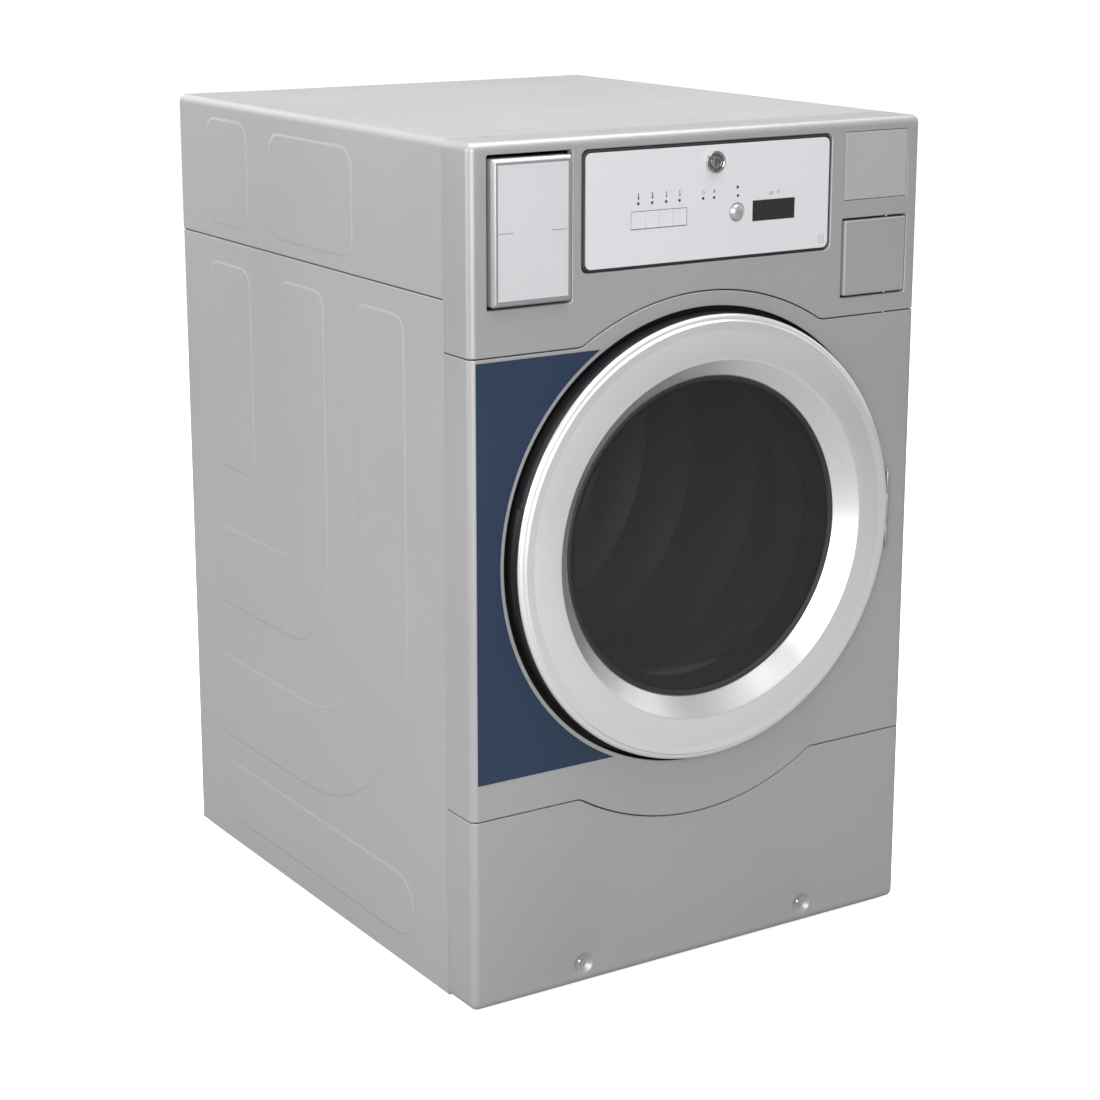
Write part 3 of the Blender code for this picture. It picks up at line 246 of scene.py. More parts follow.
def addPiece(name, shape, body, finish, replaced=(), thick=0.0, edge=0.0, angle=38, more=()):
    # turns a bmesh into a finished object that rides on its body
    mesh = bpy.data.meshes.new(name)
    shape.to_mesh(mesh)
    shape.free()
    made = bpy.data.objects.new(name, mesh)
    bpy.context.scene.collection.objects.link(made)
    for item in (finish, *more):
        mesh.materials.append(finishes[item])
    if thick:
        wall = made.modifiers.new("sheet", "SOLIDIFY")
        wall.thickness = thick
        wall.offset = -1.0
        wall.use_even_offset = True
    if edge:
        soft = made.modifiers.new("edges", "BEVEL")
        soft.width = edge
        soft.segments = 2
        soft.limit_method = "ANGLE"
        soft.angle_limit = math.radians(40)
    if thick or edge:
        bpy.context.view_layer.update()
        graph = bpy.context.evaluated_depsgraph_get()
        settled = bpy.data.meshes.new_from_object(made.evaluated_get(graph))
        made.modifiers.clear()
        made.data = settled
        bpy.data.meshes.remove(mesh)
        settled.name = name
    made.data.shade_smooth()
    made.data.set_sharp_from_angle(angle=math.radians(angle))
    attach(made, body)
    if replaced:
        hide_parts(*replaced)
    return made


def vertsIn(made):
    return [item for item in made if isinstance(item, bmesh.types.BMVert)]


def pourInto(shape, extra):
    # adds one bmesh to another and lets go of it
    mesh = bpy.data.meshes.new("extra")
    extra.to_mesh(mesh)
    extra.free()
    shape.from_mesh(mesh)
    bpy.data.meshes.remove(mesh)


def drawLine(shape, points, closed=True):
    verts = [shape.verts.new(point) for point in points]
    ends = verts[1:] + verts[:1] if closed else verts[1:]
    return verts, [shape.edges.new(pair) for pair in zip(verts, ends)]


def layStrips(shape, lines, closed=True):
    # each line is pulled out of the one before it; the first line's vertices and edges come back
    verts, edges = drawLine(shape, lines[0], closed)
    first = (verts, edges)
    for line in lines[1:]:
        made = bmesh.ops.extrude_edge_only(shape, edges=edges)["geom"]
        fresh = {item for item in made if isinstance(item, bmesh.types.BMVert)}
        nextVerts = []
        for vert, point in zip(verts, line):
            partner = next(e.other_vert(vert) for e in vert.link_edges if e.other_vert(vert) in fresh)
            partner.co = point
            nextVerts.append(partner)
        verts = nextVerts
        edges = [item for item in made if isinstance(item, bmesh.types.BMEdge)
                 and item.verts[0] in fresh and item.verts[1] in fresh]
    return first, (verts, edges)


def faceOut(shape, test, towards):
    # evens out the normals, then turns them all if a known face looks the wrong way
    bmesh.ops.remove_doubles(shape, verts=shape.verts, dist=0.000002)
    bmesh.ops.recalc_face_normals(shape, faces=shape.faces)
    known = max((face for face in shape.faces if test(face)), key=lambda face: face.calc_area())
    if known.normal.dot(Vector(towards)) < 0:
        bmesh.ops.reverse_faces(shape, faces=shape.faces)
    return shape


def addBar(shape, centre, size):
    bmesh.ops.create_cube(shape, size=1.0, matrix=Matrix.Translation(centre) @ Matrix.Diagonal((*size, 1)))


def boxShape(low, high):
    shape = bmesh.new()
    addBar(shape, (Vector(high) + Vector(low)) / 2, Vector(high) - Vector(low))
    return shape


def bevelEdges(shape, width, segments, test=None):
    edges = [edge for edge in shape.edges if test is None or test(edge)]
    bmesh.ops.bevel(shape, geom=edges, offset=width, segments=segments, profile=0.5, affect="EDGES",
                    material=-1)
    return shape


def turnOutline(outline, centre, steps=192, closed=True, axis="Y"):
    # spins a (radius, along) outline about the line through centre
    shape = bmesh.new()
    drawLine(shape, [(radius, along, 0) for radius, along in outline], closed)
    geometry = list(shape.verts) + list(shape.edges)
    bmesh.ops.spin(shape, geom=geometry, cent=(0, 0, 0), axis=(0, 1, 0), dvec=(0, 0, 0), angle=2 * math.pi,
                   steps=steps, use_merge=True)
    bmesh.ops.remove_doubles(shape, verts=shape.verts, dist=0.000002)
    bmesh.ops.recalc_face_normals(shape, faces=shape.faces)
    if axis == "Z":
        bmesh.ops.rotate(shape, matrix=Matrix.Rotation(math.pi / 2, 3, "X"), verts=shape.verts)
    if axis == "X":
        bmesh.ops.rotate(shape, matrix=Matrix.Rotation(-math.pi / 2, 3, "Z"), verts=shape.verts)
    bmesh.ops.translate(shape, vec=centre, verts=shape.verts)
    return shape


def fillet(centre, radius, start, end, count):
    turns = [math.radians(start + (end - start) * i / count) for i in range(count + 1)]
    return [(centre[0] + radius * math.cos(turn), centre[1] + radius * math.sin(turn)) for turn in turns]


def roundRect(span, radius, grow=0.0, count=6):
    # corners of a rectangle (x0, x1, z0, z1), rounded, as (x, z) points
    x0, x1, z0, z1 = span[0] - grow, span[1] + grow, span[2] - grow, span[3] + grow
    bend = max(radius + grow, 0.00005)
    points = []
    for cx, cz, start in ((x1 - bend, z1 - bend, 0), (x0 + bend, z1 - bend, 90),
                          (x0 + bend, z0 + bend, 180), (x1 - bend, z0 + bend, 270)):
        points += fillet((cx, cz), bend, start, start + 90, count)
    return points


def cornered(corners, count=10):
    # a closed path through (a, b, radius) corners, each rounded
    path = []
    for i, (a, b, radius) in enumerate(corners):
        here = Vector((a, b))
        back = (Vector(corners[i - 1][:2]) - here).normalized()
        ahead = (Vector(corners[(i + 1) % len(corners)][:2]) - here).normalized()
        half = back.angle(ahead) / 2
        middle = here + (back + ahead).normalized() * (radius / math.sin(half))
        start = here + back * (radius / math.tan(half)) - middle
        swing = start.angle_signed(here + ahead * (radius / math.tan(half)) - middle)
        for step in range(count + 1):
            path.append(middle + Matrix.Rotation(-swing * step / count, 2) @ start)
    return path


def rimLines(line, radius, deep=None, steps=3, support=0.0008):
    # lines for a rounded edge: line(grow, depth) gives the points, grow being away from the opening
    lines = [line(radius + support, 0.0)]
    for step in range(steps + 1):
        turn = math.pi / 2 * step / steps
        lines.append(line(radius * (1 - math.sin(turn)), radius * (1 - math.cos(turn))))
    if deep:
        lines.append(line(0.0, deep))
    return lines


def fillFlat(shape, edges, normal):
    return bmesh.ops.triangle_fill(shape, use_beauty=True, use_dissolve=False, edges=edges, normal=normal)


def plateShape(outline, low, high, holes=(), frontEdge=0.0):
    # a flat (x, z) outline as a plate from y=low to y=high, its front edges rounded
    shape = bmesh.new()
    edges = drawLine(shape, [(x, low, z) for x, z in outline])[1]
    for hole in holes:
        edges += drawLine(shape, [(x, low, z) for x, z in hole])[1]
    fillFlat(shape, edges, (0, -1, 0))
    bmesh.ops.dissolve_limit(shape, angle_limit=0.01, verts=shape.verts, edges=shape.edges)
    made = bmesh.ops.extrude_face_region(shape, geom=list(shape.faces), use_keep_orig=True)["geom"]
    bmesh.ops.translate(shape, vec=(0, high - low, 0), verts=vertsIn(made))
    bmesh.ops.remove_doubles(shape, verts=shape.verts, dist=0.000001)
    bmesh.ops.recalc_face_normals(shape, faces=shape.faces)
    if frontEdge:
        bevelEdges(shape, frontEdge, 2, lambda e: all(abs(v.co.y - low) < 1e-7 for v in e.verts)
                   and e.calc_face_angle(0) > 1.0)
    return shape


def copyOfNode(name):
    # a merged working copy of a CAD node's mesh, its flat areas joined up again
    shape = bmesh.new()
    shape.from_mesh(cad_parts[name].data)
    bmesh.ops.remove_doubles(shape, verts=shape.verts, dist=0.000005)
    bmesh.ops.dissolve_limit(shape, angle_limit=0.008, verts=shape.verts, edges=shape.edges)
    return shape


# sheet-metal skins of the front: flat blanks with their openings, folded round the corners
seams = {
    "upper": 0.8435,
    "lower": 0.2625,
    "arcZ": 0.553,
    "arcRadius": 0.344,
    "gap": 0.0016,
    "blend": 0.020,
    "arcSteps": 64,
}
flatHalf = halfWidth - cabinet["cornerRadius"]
bendLength = cabinet["cornerRadius"] * math.pi / 2
reach = flatHalf + bendLength + (cabinet["wrapEnd"] - frontY - cabinet["cornerRadius"])


def seamLine(upper, grow, depth):
    # the seam right across the blank, moved by grow away from the door, at a depth behind the face
    sign = 1 if upper else -1
    level = sign * ((seams["upper"] if upper else seams["lower"]) - seams["arcZ"]) + grow
    radius = seams["arcRadius"] + grow
    bend = seams["blend"] - grow
    across = math.sqrt((radius + bend) ** 2 - (level + bend) ** 2)
    lean = math.degrees(math.atan2(level + bend, across))
    half = fillet((0, 0), radius, 90, lean, seams["arcSteps"])
    half += fillet((across, level + bend), bend, lean + 180, 270, 6)[1:] + [(reach, level)]
    whole = [(-x, h) for x, h in half[::-1]][:-1] + half
    return [Vector((x, depth, seams["arcZ"] + sign * h)) for x, h in whole]


def straightLine(level, sign):
    # a level edge of the blank; grow moves it back into the sheet
    def line(grow, depth):
        return [Vector((x, depth, level - sign * grow)) for x in (-reach, reach)]
    return line


def foldBlank(shape):
    for side in (-1, 1):
        for step in range(9):
            cut = side * (flatHalf + bendLength * step / 8)
            bmesh.ops.bisect_plane(shape, geom=list(shape.verts) + list(shape.edges) + list(shape.faces),
                                   dist=0.0000001, plane_co=(cut, 0, 0), plane_no=(1, 0, 0))
    radius = cabinet["cornerRadius"]
    for vert in shape.verts:
        along, depth, z = vert.co
        side = 1 if along > 0 else -1
        past = abs(along) - flatHalf
        if past <= 0:
            vert.co = (along, frontY + depth, z)
        elif past < bendLength:
            turn = past / radius
            vert.co = (side * (flatHalf + (radius - depth) * math.sin(turn)),
                       frontY + radius - (radius - depth) * math.cos(turn), z)
        else:
            vert.co = (side * (halfWidth - depth), frontY + radius + past - bendLength, z)
    return shape


def foldedSkin(lowLines, highLines, openings, capZ=None):
    shape = bmesh.new()
    rims, ends = [], []
    for lines in (lowLines, highLines):
        (verts, edges), _ = layStrips(shape, lines, False)
        rims += edges
        ends.append((verts[0], verts[-1]))
    rims += [shape.edges.new((ends[0][k], ends[1][k])) for k in (0, 1)]
    for lines in openings:
        rims += layStrips(shape, lines)[0][1]
    fillFlat(shape, rims, (0, -1, 0))
    foldBlank(shape)
    bmesh.ops.remove_doubles(shape, verts=shape.verts, dist=0.000002)
    if capZ is not None:
        # the top or bottom of the skin closes over from front to wrap
        edges = [edge for edge in shape.edges if edge.is_boundary
                 and all(abs(vert.co.z - capZ) < 1e-5 for vert in edge.verts)]
        loose = [vert for vert in {v for e in edges for v in e.verts}
                 if sum(1 for e in vert.link_edges if e in edges) == 1]
        edges.append(shape.edges.new(loose))
        bmesh.ops.contextual_create(shape, geom=edges)
    return faceOut(shape, lambda face: abs(face.normal.y) > 0.99, (0, -1, 0))


def seamRim(upper, away):
    sign = 1 if away else -1

    def line(grow, depth):
        return seamLine(upper, sign * (seams["gap"] / 2 + grow), depth)
    return rimLines(line, cabinet["foldRadius"], cabinet["returnDepth"])


def openingRim(span, corner, radius, deep, count=6):
    def line(grow, depth):
        return [Vector((x, depth, z)) for x, z in roundRect(span, corner, grow, count)]
    return rimLines(line, radius, deep)


openings = {
    "card": (-0.3185, -0.1995, 0.9000, 1.0832),
    "panel": (-0.1855, 0.1955, 0.9330, 1.0820),
    "blank": (0.2172, 0.3215, 0.9940, 1.0820),
    "coin": (0.2155, 0.3225, 0.8680, 0.9710),
    "edgeRadius": 0.0018,
    "cardDepth": 0.0110,
    "panelDepth": 0.0075,
}
edgeR = openings["edgeRadius"]
cornerR = cabinet["cornerRadius"]
holes = [
    openingRim(openings["card"], 0.0030, edgeR, openings["cardDepth"]),
    openingRim(openings["panel"], 0.0090, edgeR, openings["panelDepth"], 10),
    openingRim(openings["blank"], 0.0012, 0.0006, 0.0038, 3),
    openingRim(openings["coin"], 0.0020, 0.0014, 0.0095, 4),
]
topRim = rimLines(straightLine(topZ, 1), cornerR, None, 8)
addPiece("controlFascia", foldedSkin(seamRim(True, True), topRim, holes, topZ), "cabinet", "frontPaint",
         ["control_fascia"], thick=cabinet["sheet"])


def circleLine(radius, centre, count):
    def line(grow, depth):
        return [Vector((centre[0] + x, depth, centre[1] + z))
                for x, z in fillet((0, 0), radius + grow, 0, 360, count)[:-1]]
    return line


doorHole = rimLines(circleLine(recessRadius, (0, doorZ), 240), 0.0008, None, 3)
addPiece("frontPanel", foldedSkin(seamRim(False, False), seamRim(True, False), [doorHole]), "cabinet",
         "frontPaint", ["front_panel"], thick=cabinet["sheet"])

dimple = {
    "x": 0.178,
    "z": 0.0370,
    "halfWide": 0.0150,
    "halfHigh": 0.0146,
    "floor": 0.0058,
    "steps": ((1.06, 0.0), (1.0, 0.00012), (0.93, 0.0007), (0.80, 0.0024), (0.66, 0.0042), (0.54, 0.0053),
              (0.46, 0.0058)),
}


def dimpleLines(x):
    lines = []
    for scale, depth in dimple["steps"]:
        ring = []
        for turnX, turnZ in fillet((0, 0), 1.0, 0, 360, 40)[:-1]:
            ring.append(Vector((x + turnX * dimple["halfWide"] * scale, depth,
                                dimple["z"] + turnZ * dimple["halfHigh"] * scale)))
        lines.append(ring)
    return lines


bottomRim = rimLines(straightLine(baseZ, -1), cornerR, None, 8)
lowerSkin = foldedSkin(bottomRim, seamRim(False, True), [dimpleLines(dimple["x"]), dimpleLines(-dimple["x"])],
                       baseZ)
floors = [edge for edge in lowerSkin.edges if edge.is_boundary and edge.verts[0].co.z < 0.06
          and edge.verts[1].co.z < 0.06 and abs(edge.verts[0].co.y - frontY - dimple["floor"]) < 1e-5]
for side in (-1, 1):
    bmesh.ops.contextual_create(lowerSkin, geom=[e for e in floors if e.verts[0].co.x * side > 0])
faceOut(lowerSkin, lambda face: abs(face.normal.y) > 0.99, (0, -1, 0))
addPiece("lowerAccessPanel", lowerSkin, "cabinet", "frontPaint", ["lower_access_panel"],
         thick=cabinet["sheet"])
print("front skins done")

# side panels and hood, with their soft pressed pads
pads = {
    "short": ((0.583, 0.568, 0.028), (0.714, 0.568, 0.028), (0.714, 0.866, 0.028), (0.583, 0.866, 0.028)),
    "middle": ((0.3685, 0.866, 0.024), (0.497, 0.866, 0.024), (0.497, 0.4835, 0.010), (0.714, 0.4835, 0.024),
               (0.714, 0.3635, 0.024), (0.3685, 0.3635, 0.1205)),
    "large": ((0.1565, 0.866, 0.024), (0.2848, 0.866, 0.024), (0.2848, 0.2883, 0.1517),
              (0.714, 0.2883, 0.024), (0.714, 0.160, 0.024), (0.1565, 0.160, 0.280)),
    "low": ((0.150, 0.034, 0.0440), (0.720, 0.034, 0.0440), (0.720, 0.126, 0.0440), (0.150, 0.126, 0.0440)),
}
hoodPads = {
    "rear": ((0.583, 0.915, 0.028), (0.714, 0.915, 0.028), (0.714, 1.066, 0.028), (0.583, 1.066, 0.028)),
    "front": ((0.285, 0.915, 0.028), (0.520, 0.915, 0.028), (0.520, 1.060, 0.028), (0.285, 1.060, 0.028)),
}
press = ((0.0008, 0.0), (0.0011, 0.00012), (0.0012, 0.00036), (0.0012, 0.00036), (0.0011, 0.00012),
         (0.0008, 0.0))


def pressPads(shape, face, outlines, side):
    # the flat face is opened up, filled round the pads, and each pad is stepped outwards
    bmesh.ops.inset_region(shape, faces=[face], thickness=0.0008, depth=0, use_even_offset=True)
    edges = list(face.edges)
    level = face.verts[0].co.x
    bmesh.ops.delete(shape, geom=[face], context="FACES_ONLY")
    loops = []
    for outline in outlines:
        points = [(level, frontY + a, baseZ + b) for a, b in cornered(outline)]
        loops.append(drawLine(shape, points)[1])
    normal = (side, 0, 0)
    fillFlat(shape, edges + [edge for loop in loops for edge in loop], normal)
    raised = [bmesh.ops.contextual_create(shape, geom=loop)["faces"][0] for loop in loops]
    for made in raised:
        if made.normal.dot(Vector(normal)) < 0:
            made.normal_flip()
    for made in raised:
        for width, rise in press:
            bmesh.ops.inset_region(shape, faces=[made], thickness=width, depth=rise, use_even_offset=True)


def sidePanel(side, name, node):
    outer = side * (halfWidth - cabinet["emboss"])
    inner = outer - side * 0.016
    low = (min(outer, inner), cabinet["wrapStart"], baseZ)
    high = (max(outer, inner), rearY, cabinet["sideTopZ"])
    shape = boxShape(low, high)
    bevelEdges(shape, 0.0014, 3, lambda e: all(abs(v.co.x - outer) < 1e-6 for v in e.verts))
    gone = [face for face in shape.faces if face.normal.x * side < -0.99]
    bmesh.ops.delete(shape, geom=gone, context="FACES")
    face = next(face for face in shape.faces if face.normal.x * side > 0.999)
    pressPads(shape, face, pads.values(), side)
    faceOut(shape, lambda f: abs(f.normal.x) > 0.99, (side, 0, 0))
    addPiece(name, shape, "cabinet", "sidePaint", [node], thick=cabinet["sheet"])


sidePanel(-1, "sidePanelLeft", "side_panel_left")
sidePanel(1, "sidePanelRight", "side_panel_right")

hood = {
    "returnWidth": 0.006,
    "edgeSteps": 8,
    "fieldEdge": 0.026,
    "fieldCorner": 0.030,
    "fieldDrop": ((0.0008, 0.0), (0.0010, -0.00012), (0.0012, -0.0003), (0.0010, -0.00012), (0.0008, 0.0)),
}
outerHalf = halfWidth - cabinet["emboss"]
shape = boxShape((-outerHalf, cabinet["wrapStart"], cabinet["hoodZ"]), (outerHalf, rearY, topZ))
bevelEdges(shape, cornerR, hood["edgeSteps"], lambda e: all(v.co.z > topZ - 1e-6 for v in e.verts)
           and abs(e.verts[0].co.y - e.verts[1].co.y) > 0.1)
gone = [face for face in shape.faces if abs(face.normal.y) > 0.99 or face.normal.z < -0.99]
bmesh.ops.delete(shape, geom=gone, context="FACES")
for side in (-1, 1):
    bottom = [e for e in shape.edges if all(v.co.z < cabinet["hoodZ"] + 1e-6 and v.co.x * side > 0
                                            for v in e.verts)]
    made = bmesh.ops.extrude_edge_only(shape, edges=bottom)["geom"]
    bmesh.ops.translate(shape, vec=(-side * hood["returnWidth"], 0, 0), verts=vertsIn(made))
bevelEdges(shape, 0.0012, 3, lambda e: all(abs(v.co.z - cabinet["hoodZ"]) < 1e-6
                                           and abs(abs(v.co.x) - outerHalf) < 1e-6 for v in e.verts))
for side in (-1, 1):
    face = max((f for f in shape.faces if f.normal.x * side > 0.999), key=lambda f: f.calc_area())
    pressPads(shape, face, hoodPads.values(), side)
roof = max((f for f in shape.faces if abs(f.normal.z) > 0.999), key=lambda f: f.calc_area())
bmesh.ops.inset_region(shape, faces=[roof], thickness=hood["fieldEdge"], depth=0, use_even_offset=True)
corners = list(roof.verts)
bmesh.ops.bevel(shape, geom=corners, offset=hood["fieldCorner"], segments=8, profile=0.5, affect="VERTICES",
                material=-1)
roof = max((f for f in shape.faces if abs(f.normal.z) > 0.999), key=lambda f: f.calc_area())
faceOut(shape, lambda f: abs(f.normal.z) > 0.99, (0, 0, 1))
for width, rise in hood["fieldDrop"]:
    bmesh.ops.inset_region(shape, faces=[roof], thickness=width, depth=rise, use_even_offset=True)
addPiece("topHood", shape, "cabinet", "sidePaint", ["top_hood"], thick=cabinet["sheet"])
print("sides and hood done")

film = {"left": -0.3350, "low": 0.3105, "high": 0.8385, "radius": recessRadius + 0.0055}
startTurn = math.degrees(math.asin((film["high"] - doorZ) / film["radius"]))
endTurn = math.degrees(math.asin((doorZ - film["low"]) / film["radius"]))
outline = [(film["left"], film["low"]), (film["left"], film["high"])]
outline += [(x, doorZ + z) for x, z in fillet((0, 0), film["radius"], 180 - startTurn, 180 + endTurn, 90)]
shape = plateShape(outline, -0.00065, -0.0003)
addPiece("accentFilm", foldBlank(shape), "cabinet", "navyFilm", ["accent_film"])

# covers on the fascia
card = {"span": (-0.3150, -0.2030, 0.9040, 1.0785), "front": frontY - 0.008, "deep": 0.020, "corner": 0.0030,
        "dashes": ((0.07, 0.25), (0.73, 0.92)), "dashHalf": 0.0004}


def onPlane(y, points):
    return [Vector((x, y, z)) for x, z in points]


def shrunk(span, gap):
    return (span[0] + gap, span[1] - gap, span[2] + gap, span[3] - gap)


def coverShape(span, front, deep, corner, steps):
    # a moulded cover: lines of the same rounded rectangle, stepped in and forward, then closed
    shape = bmesh.new()
    lines = [onPlane(front + back, roundRect(span, corner, -inset, 8)) for inset,
             back in ((0.0, deep), *steps)]
    first, last = layStrips(shape, lines)
    bmesh.ops.contextual_create(shape, geom=first[1])
    face = bmesh.ops.contextual_create(shape, geom=last[1])["faces"]
    bmesh.ops.recalc_face_normals(shape, faces=shape.faces)
    return shape, face[0]


shape, face = coverShape(card["span"], card["front"], card["deep"], card["corner"], (
    (0.0, 0.0040), (0.0003, 0.0032), (0.0036, 0.0004), (0.0042, 0.0), (0.0050, 0.0), (0.0052, 0.0006),
    (0.0057, 0.0006), (0.0059, 0.0), (0.0070, 0.0)))
for item in shape.faces:
    item.material_index = 1
face.material_index = 0
addPiece("cardCover", shape, "cabinet", "cardWhite", ["card_cover"], more=["plateRim"])


def flatMark(shape, outline, y, holes=()):
    # print stands a hair proud of its plate, and reaches a little into it
    pourInto(shape, plateShape(outline, y - 0.00009, y + 0.0002, holes))


def strip(x0, x1, z0, z1):
    return [(x0, z0), (x1, z0), (x1, z1), (x0, z1)]


def disc(x, z, radius, count=24):
    return [(x + a, z + b) for a, b in fillet((0, 0), radius, 0, 360, count)[:-1]]


shape = bmesh.new()
width = card["span"][1] - card["span"][0]
middle = (card["span"][2] + card["span"][3]) / 2
for start, end in card["dashes"]:
    x0, x1 = card["span"][0] + width * start, card["span"][0] + width * end
    flatMark(shape, strip(x0, x1, middle - card["dashHalf"], middle + card["dashHalf"]), card["front"])
addPiece("cardDashes", shape, "cabinet", "inkGrey")

coin = {"blankGap": 0.0007, "blankCorner": 0.0010, "doorGap": 0.0030, "doorCorner": 0.0022, "proud": 0.0025}
shape, _ = coverShape(shrunk(openings["blank"], coin["blankGap"]), frontY, 0.0040, coin["blankCorner"],
                      ((0.0, 0.0008), (0.0002, 0.0003), (0.0007, 0.00002), (0.0016, 0.00002)))
addPiece("coinDropBlank", shape, "cabinet", "blankPaint", ["coin_drop_blank"])
shape, _ = coverShape(shrunk(openings["coin"], coin["doorGap"]), frontY - coin["proud"], 0.0125,
                      coin["doorCorner"], (
                          (0.0, 0.0016), (0.0003, 0.0008), (0.0009, 0.0002), (0.0016, 0.0), (0.0026, 0.0),
                          (0.0028, 0.0003), (0.0031, 0.0003), (0.0033, 0.0), (0.0042, 0.0)))
addPiece("coinBoxDoor", shape, "cabinet", "frontPaint", ["coin_box_door"])

# control plate
controls = {
    "plate": (-0.1805, 0.1905, 0.9372, 1.0775),
    "corner": 0.008,
    "keyX": (-0.1043, -0.0836, -0.0629, -0.0422),
    "keyZ": 0.9922,
    "keyWide": 0.0201,
    "keyHigh": 0.0207,
    "startX": 0.0455,
    "startRadius": 0.0112,
    "display": (0.0697, 0.1365, 0.9785, 1.0046),
    "lock": (0.0093, 1.0566),
    "lampX": (-0.1041, -0.0836, -0.0628, -0.0427, -0.0068, 0.0098, 0.0465),
    "lampZ": 1.0125,
    "lampRadius": 0.0019,
}
plateY = frontY - 0.0010
keyX, keyZ = controls["keyX"], controls["keyZ"]
keyStrip = (keyX[0] - 0.0105, keyX[-1] + 0.0105, keyZ - 0.0109, keyZ + 0.0109)
cuts = [roundRect(keyStrip, 0.0008, 0, 3), roundRect(controls["display"], 0.0008, 0, 3),
        disc(controls["startX"], keyZ, controls["startRadius"] + 0.0005, 64),
        disc(*controls["lock"], 0.0100, 64)]
cuts += [disc(x, controls["lampZ"], controls["lampRadius"], 16) for x in controls["lampX"]]
shape = plateShape(roundRect(controls["plate"], controls["corner"], 0, 12), plateY, frontY + 0.0060, cuts,
                   0.0005)
addPiece("controlPanel", shape, "cabinet", "plateWhite", ["control_panel"], angle=20)

gasket = bmesh.new()
lines = [onPlane(frontY + y, roundRect(controls["plate"], controls["corner"], grow, 12))
         for grow, y in ((0.0003, 0.0080), (0.0003, 0.0012), (0.0008, 0.0004), (0.0016, 0.0003),
                         (0.0026, 0.0010), (0.0036, 0.0014), (0.0042, 0.0022), (0.0042, 0.0080))]
layStrips(gasket, lines + lines[:1])
bmesh.ops.remove_doubles(gasket, verts=gasket.verts, dist=0.000002)
bmesh.ops.recalc_face_normals(gasket, faces=gasket.faces)
addPiece("panelGasket", gasket, "cabinet", "rubber", ["panel_gasket"])

shape, _ = coverShape(shrunk(controls["display"], 0.0003), frontY, 0.0020, 0.0008,
                      ((0.0, -0.0004), (0.0003, -0.0008), (0.0010, -0.0008)))
addPiece("displayWindow", shape, "cabinet", "displayGlass", ["display_window"])

shape = bmesh.new()
bead = [(0.0, 0.0010), (0.0018, 0.0010), (0.0018, -0.0001), (0.0013, -0.0004), (0.0006, -0.00055),
        (0.0, -0.0006)]
for x in controls["lampX"]:
    pourInto(shape, turnOutline(bead, (x, frontY - 0.0006, controls["lampZ"]), 16, False))
addPiece("panelLamps", shape, "cabinet", "inkDark")

# the printed signs: four thermometers, a sun, a flake, a start arrow, a note, a clock and a booklet
signs = {
    "thermometerZ": 1.0190,
    "sun": (-0.0068, 1.0200),
    "flake": (0.0098, 1.0205),
    "arrow": ((0.0441, 1.0208), (0.0488, 1.0233), (0.0441, 1.0258)),
    "note": (0.0955, 0.1015, 1.0105, 1.0145),
    "noteCentre": (0.0985, 1.0125),
    "clock": (0.1095, 1.0135),
    "booklet": (0.1755, 0.1840, 0.9430, 0.9535),
    "bookletLines": (0.9455, 0.9480, 0.9505),
    "line": 0.0004,
}
line = signs["line"]
dark, grey = bmesh.new(), bmesh.new()
for k, x in enumerate(controls["lampX"][:4]):
    z = signs["thermometerZ"]
    target = dark if k < 2 else grey
    stem = [(x - 0.0006, z + 0.0012), (x + 0.0006, z + 0.0012)] + fillet((x, z + 0.0060), 0.0006, 0, 180, 6)
    flatMark(target, stem, plateY)
    flatMark(target, disc(x, z, 0.0013, 14), plateY)
for k in range(8):
    turn = math.pi / 4 * k
    step = Vector((math.cos(turn), math.sin(turn)))
    side = Vector((-step.y, step.x)) * 0.00022
    for sign, near, far in (("sun", 0.0019, 0.0028), ("flake", 0.0, 0.0026)):
        centre = Vector(signs[sign])
        inner, outer = centre + step * near, centre + step * far
        ray = [inner + side, inner - side, outer - side, outer + side]
        flatMark(grey, [tuple(corner) for corner in ray], plateY - 0.000004 * k)
flatMark(grey, disc(*signs["sun"], 0.0014, 20), plateY, [disc(*signs["sun"], 0.0010, 20)])
flatMark(dark, signs["arrow"], plateY)
flatMark(grey, strip(*signs["note"]), plateY, [strip(*shrunk(signs["note"], line))])
flatMark(grey, disc(*signs["noteCentre"], 0.0011, 16), plateY - 0.00001)
x, z = signs["clock"]
flatMark(grey, disc(x, z, 0.0024, 24), plateY, [disc(x, z, 0.0024 - line, 24)])
flatMark(grey, strip(x - 0.00015, x + 0.00015, z, z + 0.0018), plateY)
flatMark(grey, strip(x, x + 0.0013, z - 0.00015, z + 0.00015), plateY)
booklet = signs["booklet"]
flatMark(grey, roundRect(booklet, 0.0008, 0, 3), plateY, [roundRect(shrunk(booklet, line), 0.0005, 0, 3)])
for z in signs["bookletLines"]:
    flatMark(grey, strip(booklet[0] + 0.0019, booklet[1] - 0.0019, z, z + line), plateY)
flatMark(grey, roundRect(keyStrip, 0.0008, 0.00035, 3), plateY, [roundRect(keyStrip, 0.0008, 0.00005, 3)])
addPiece("signsDark", dark, "cabinet", "inkDark")
addPiece("signsGrey", grey, "cabinet", "inkGrey")

halfWide, halfHigh = controls["keyWide"] / 2, controls["keyHigh"] / 2
for k, x in enumerate(keyX):
    span = (x - halfWide, x + halfWide, keyZ - halfHigh, keyZ + halfHigh)
    shape, _ = coverShape(span, frontY, 0.0050, 0.0007,
                          ((0.0, -0.0008), (0.0002, -0.00115), (0.0006, -0.0014), (0.0012, -0.00138),
                           (0.0016, -0.00128), (0.0030, -0.00120)))
    addPiece("temperatureKey%d" % (k + 1), shape, "key_%d" % (k + 1), "keyGrey",
             ["temperature_key_%d" % (k + 1)])

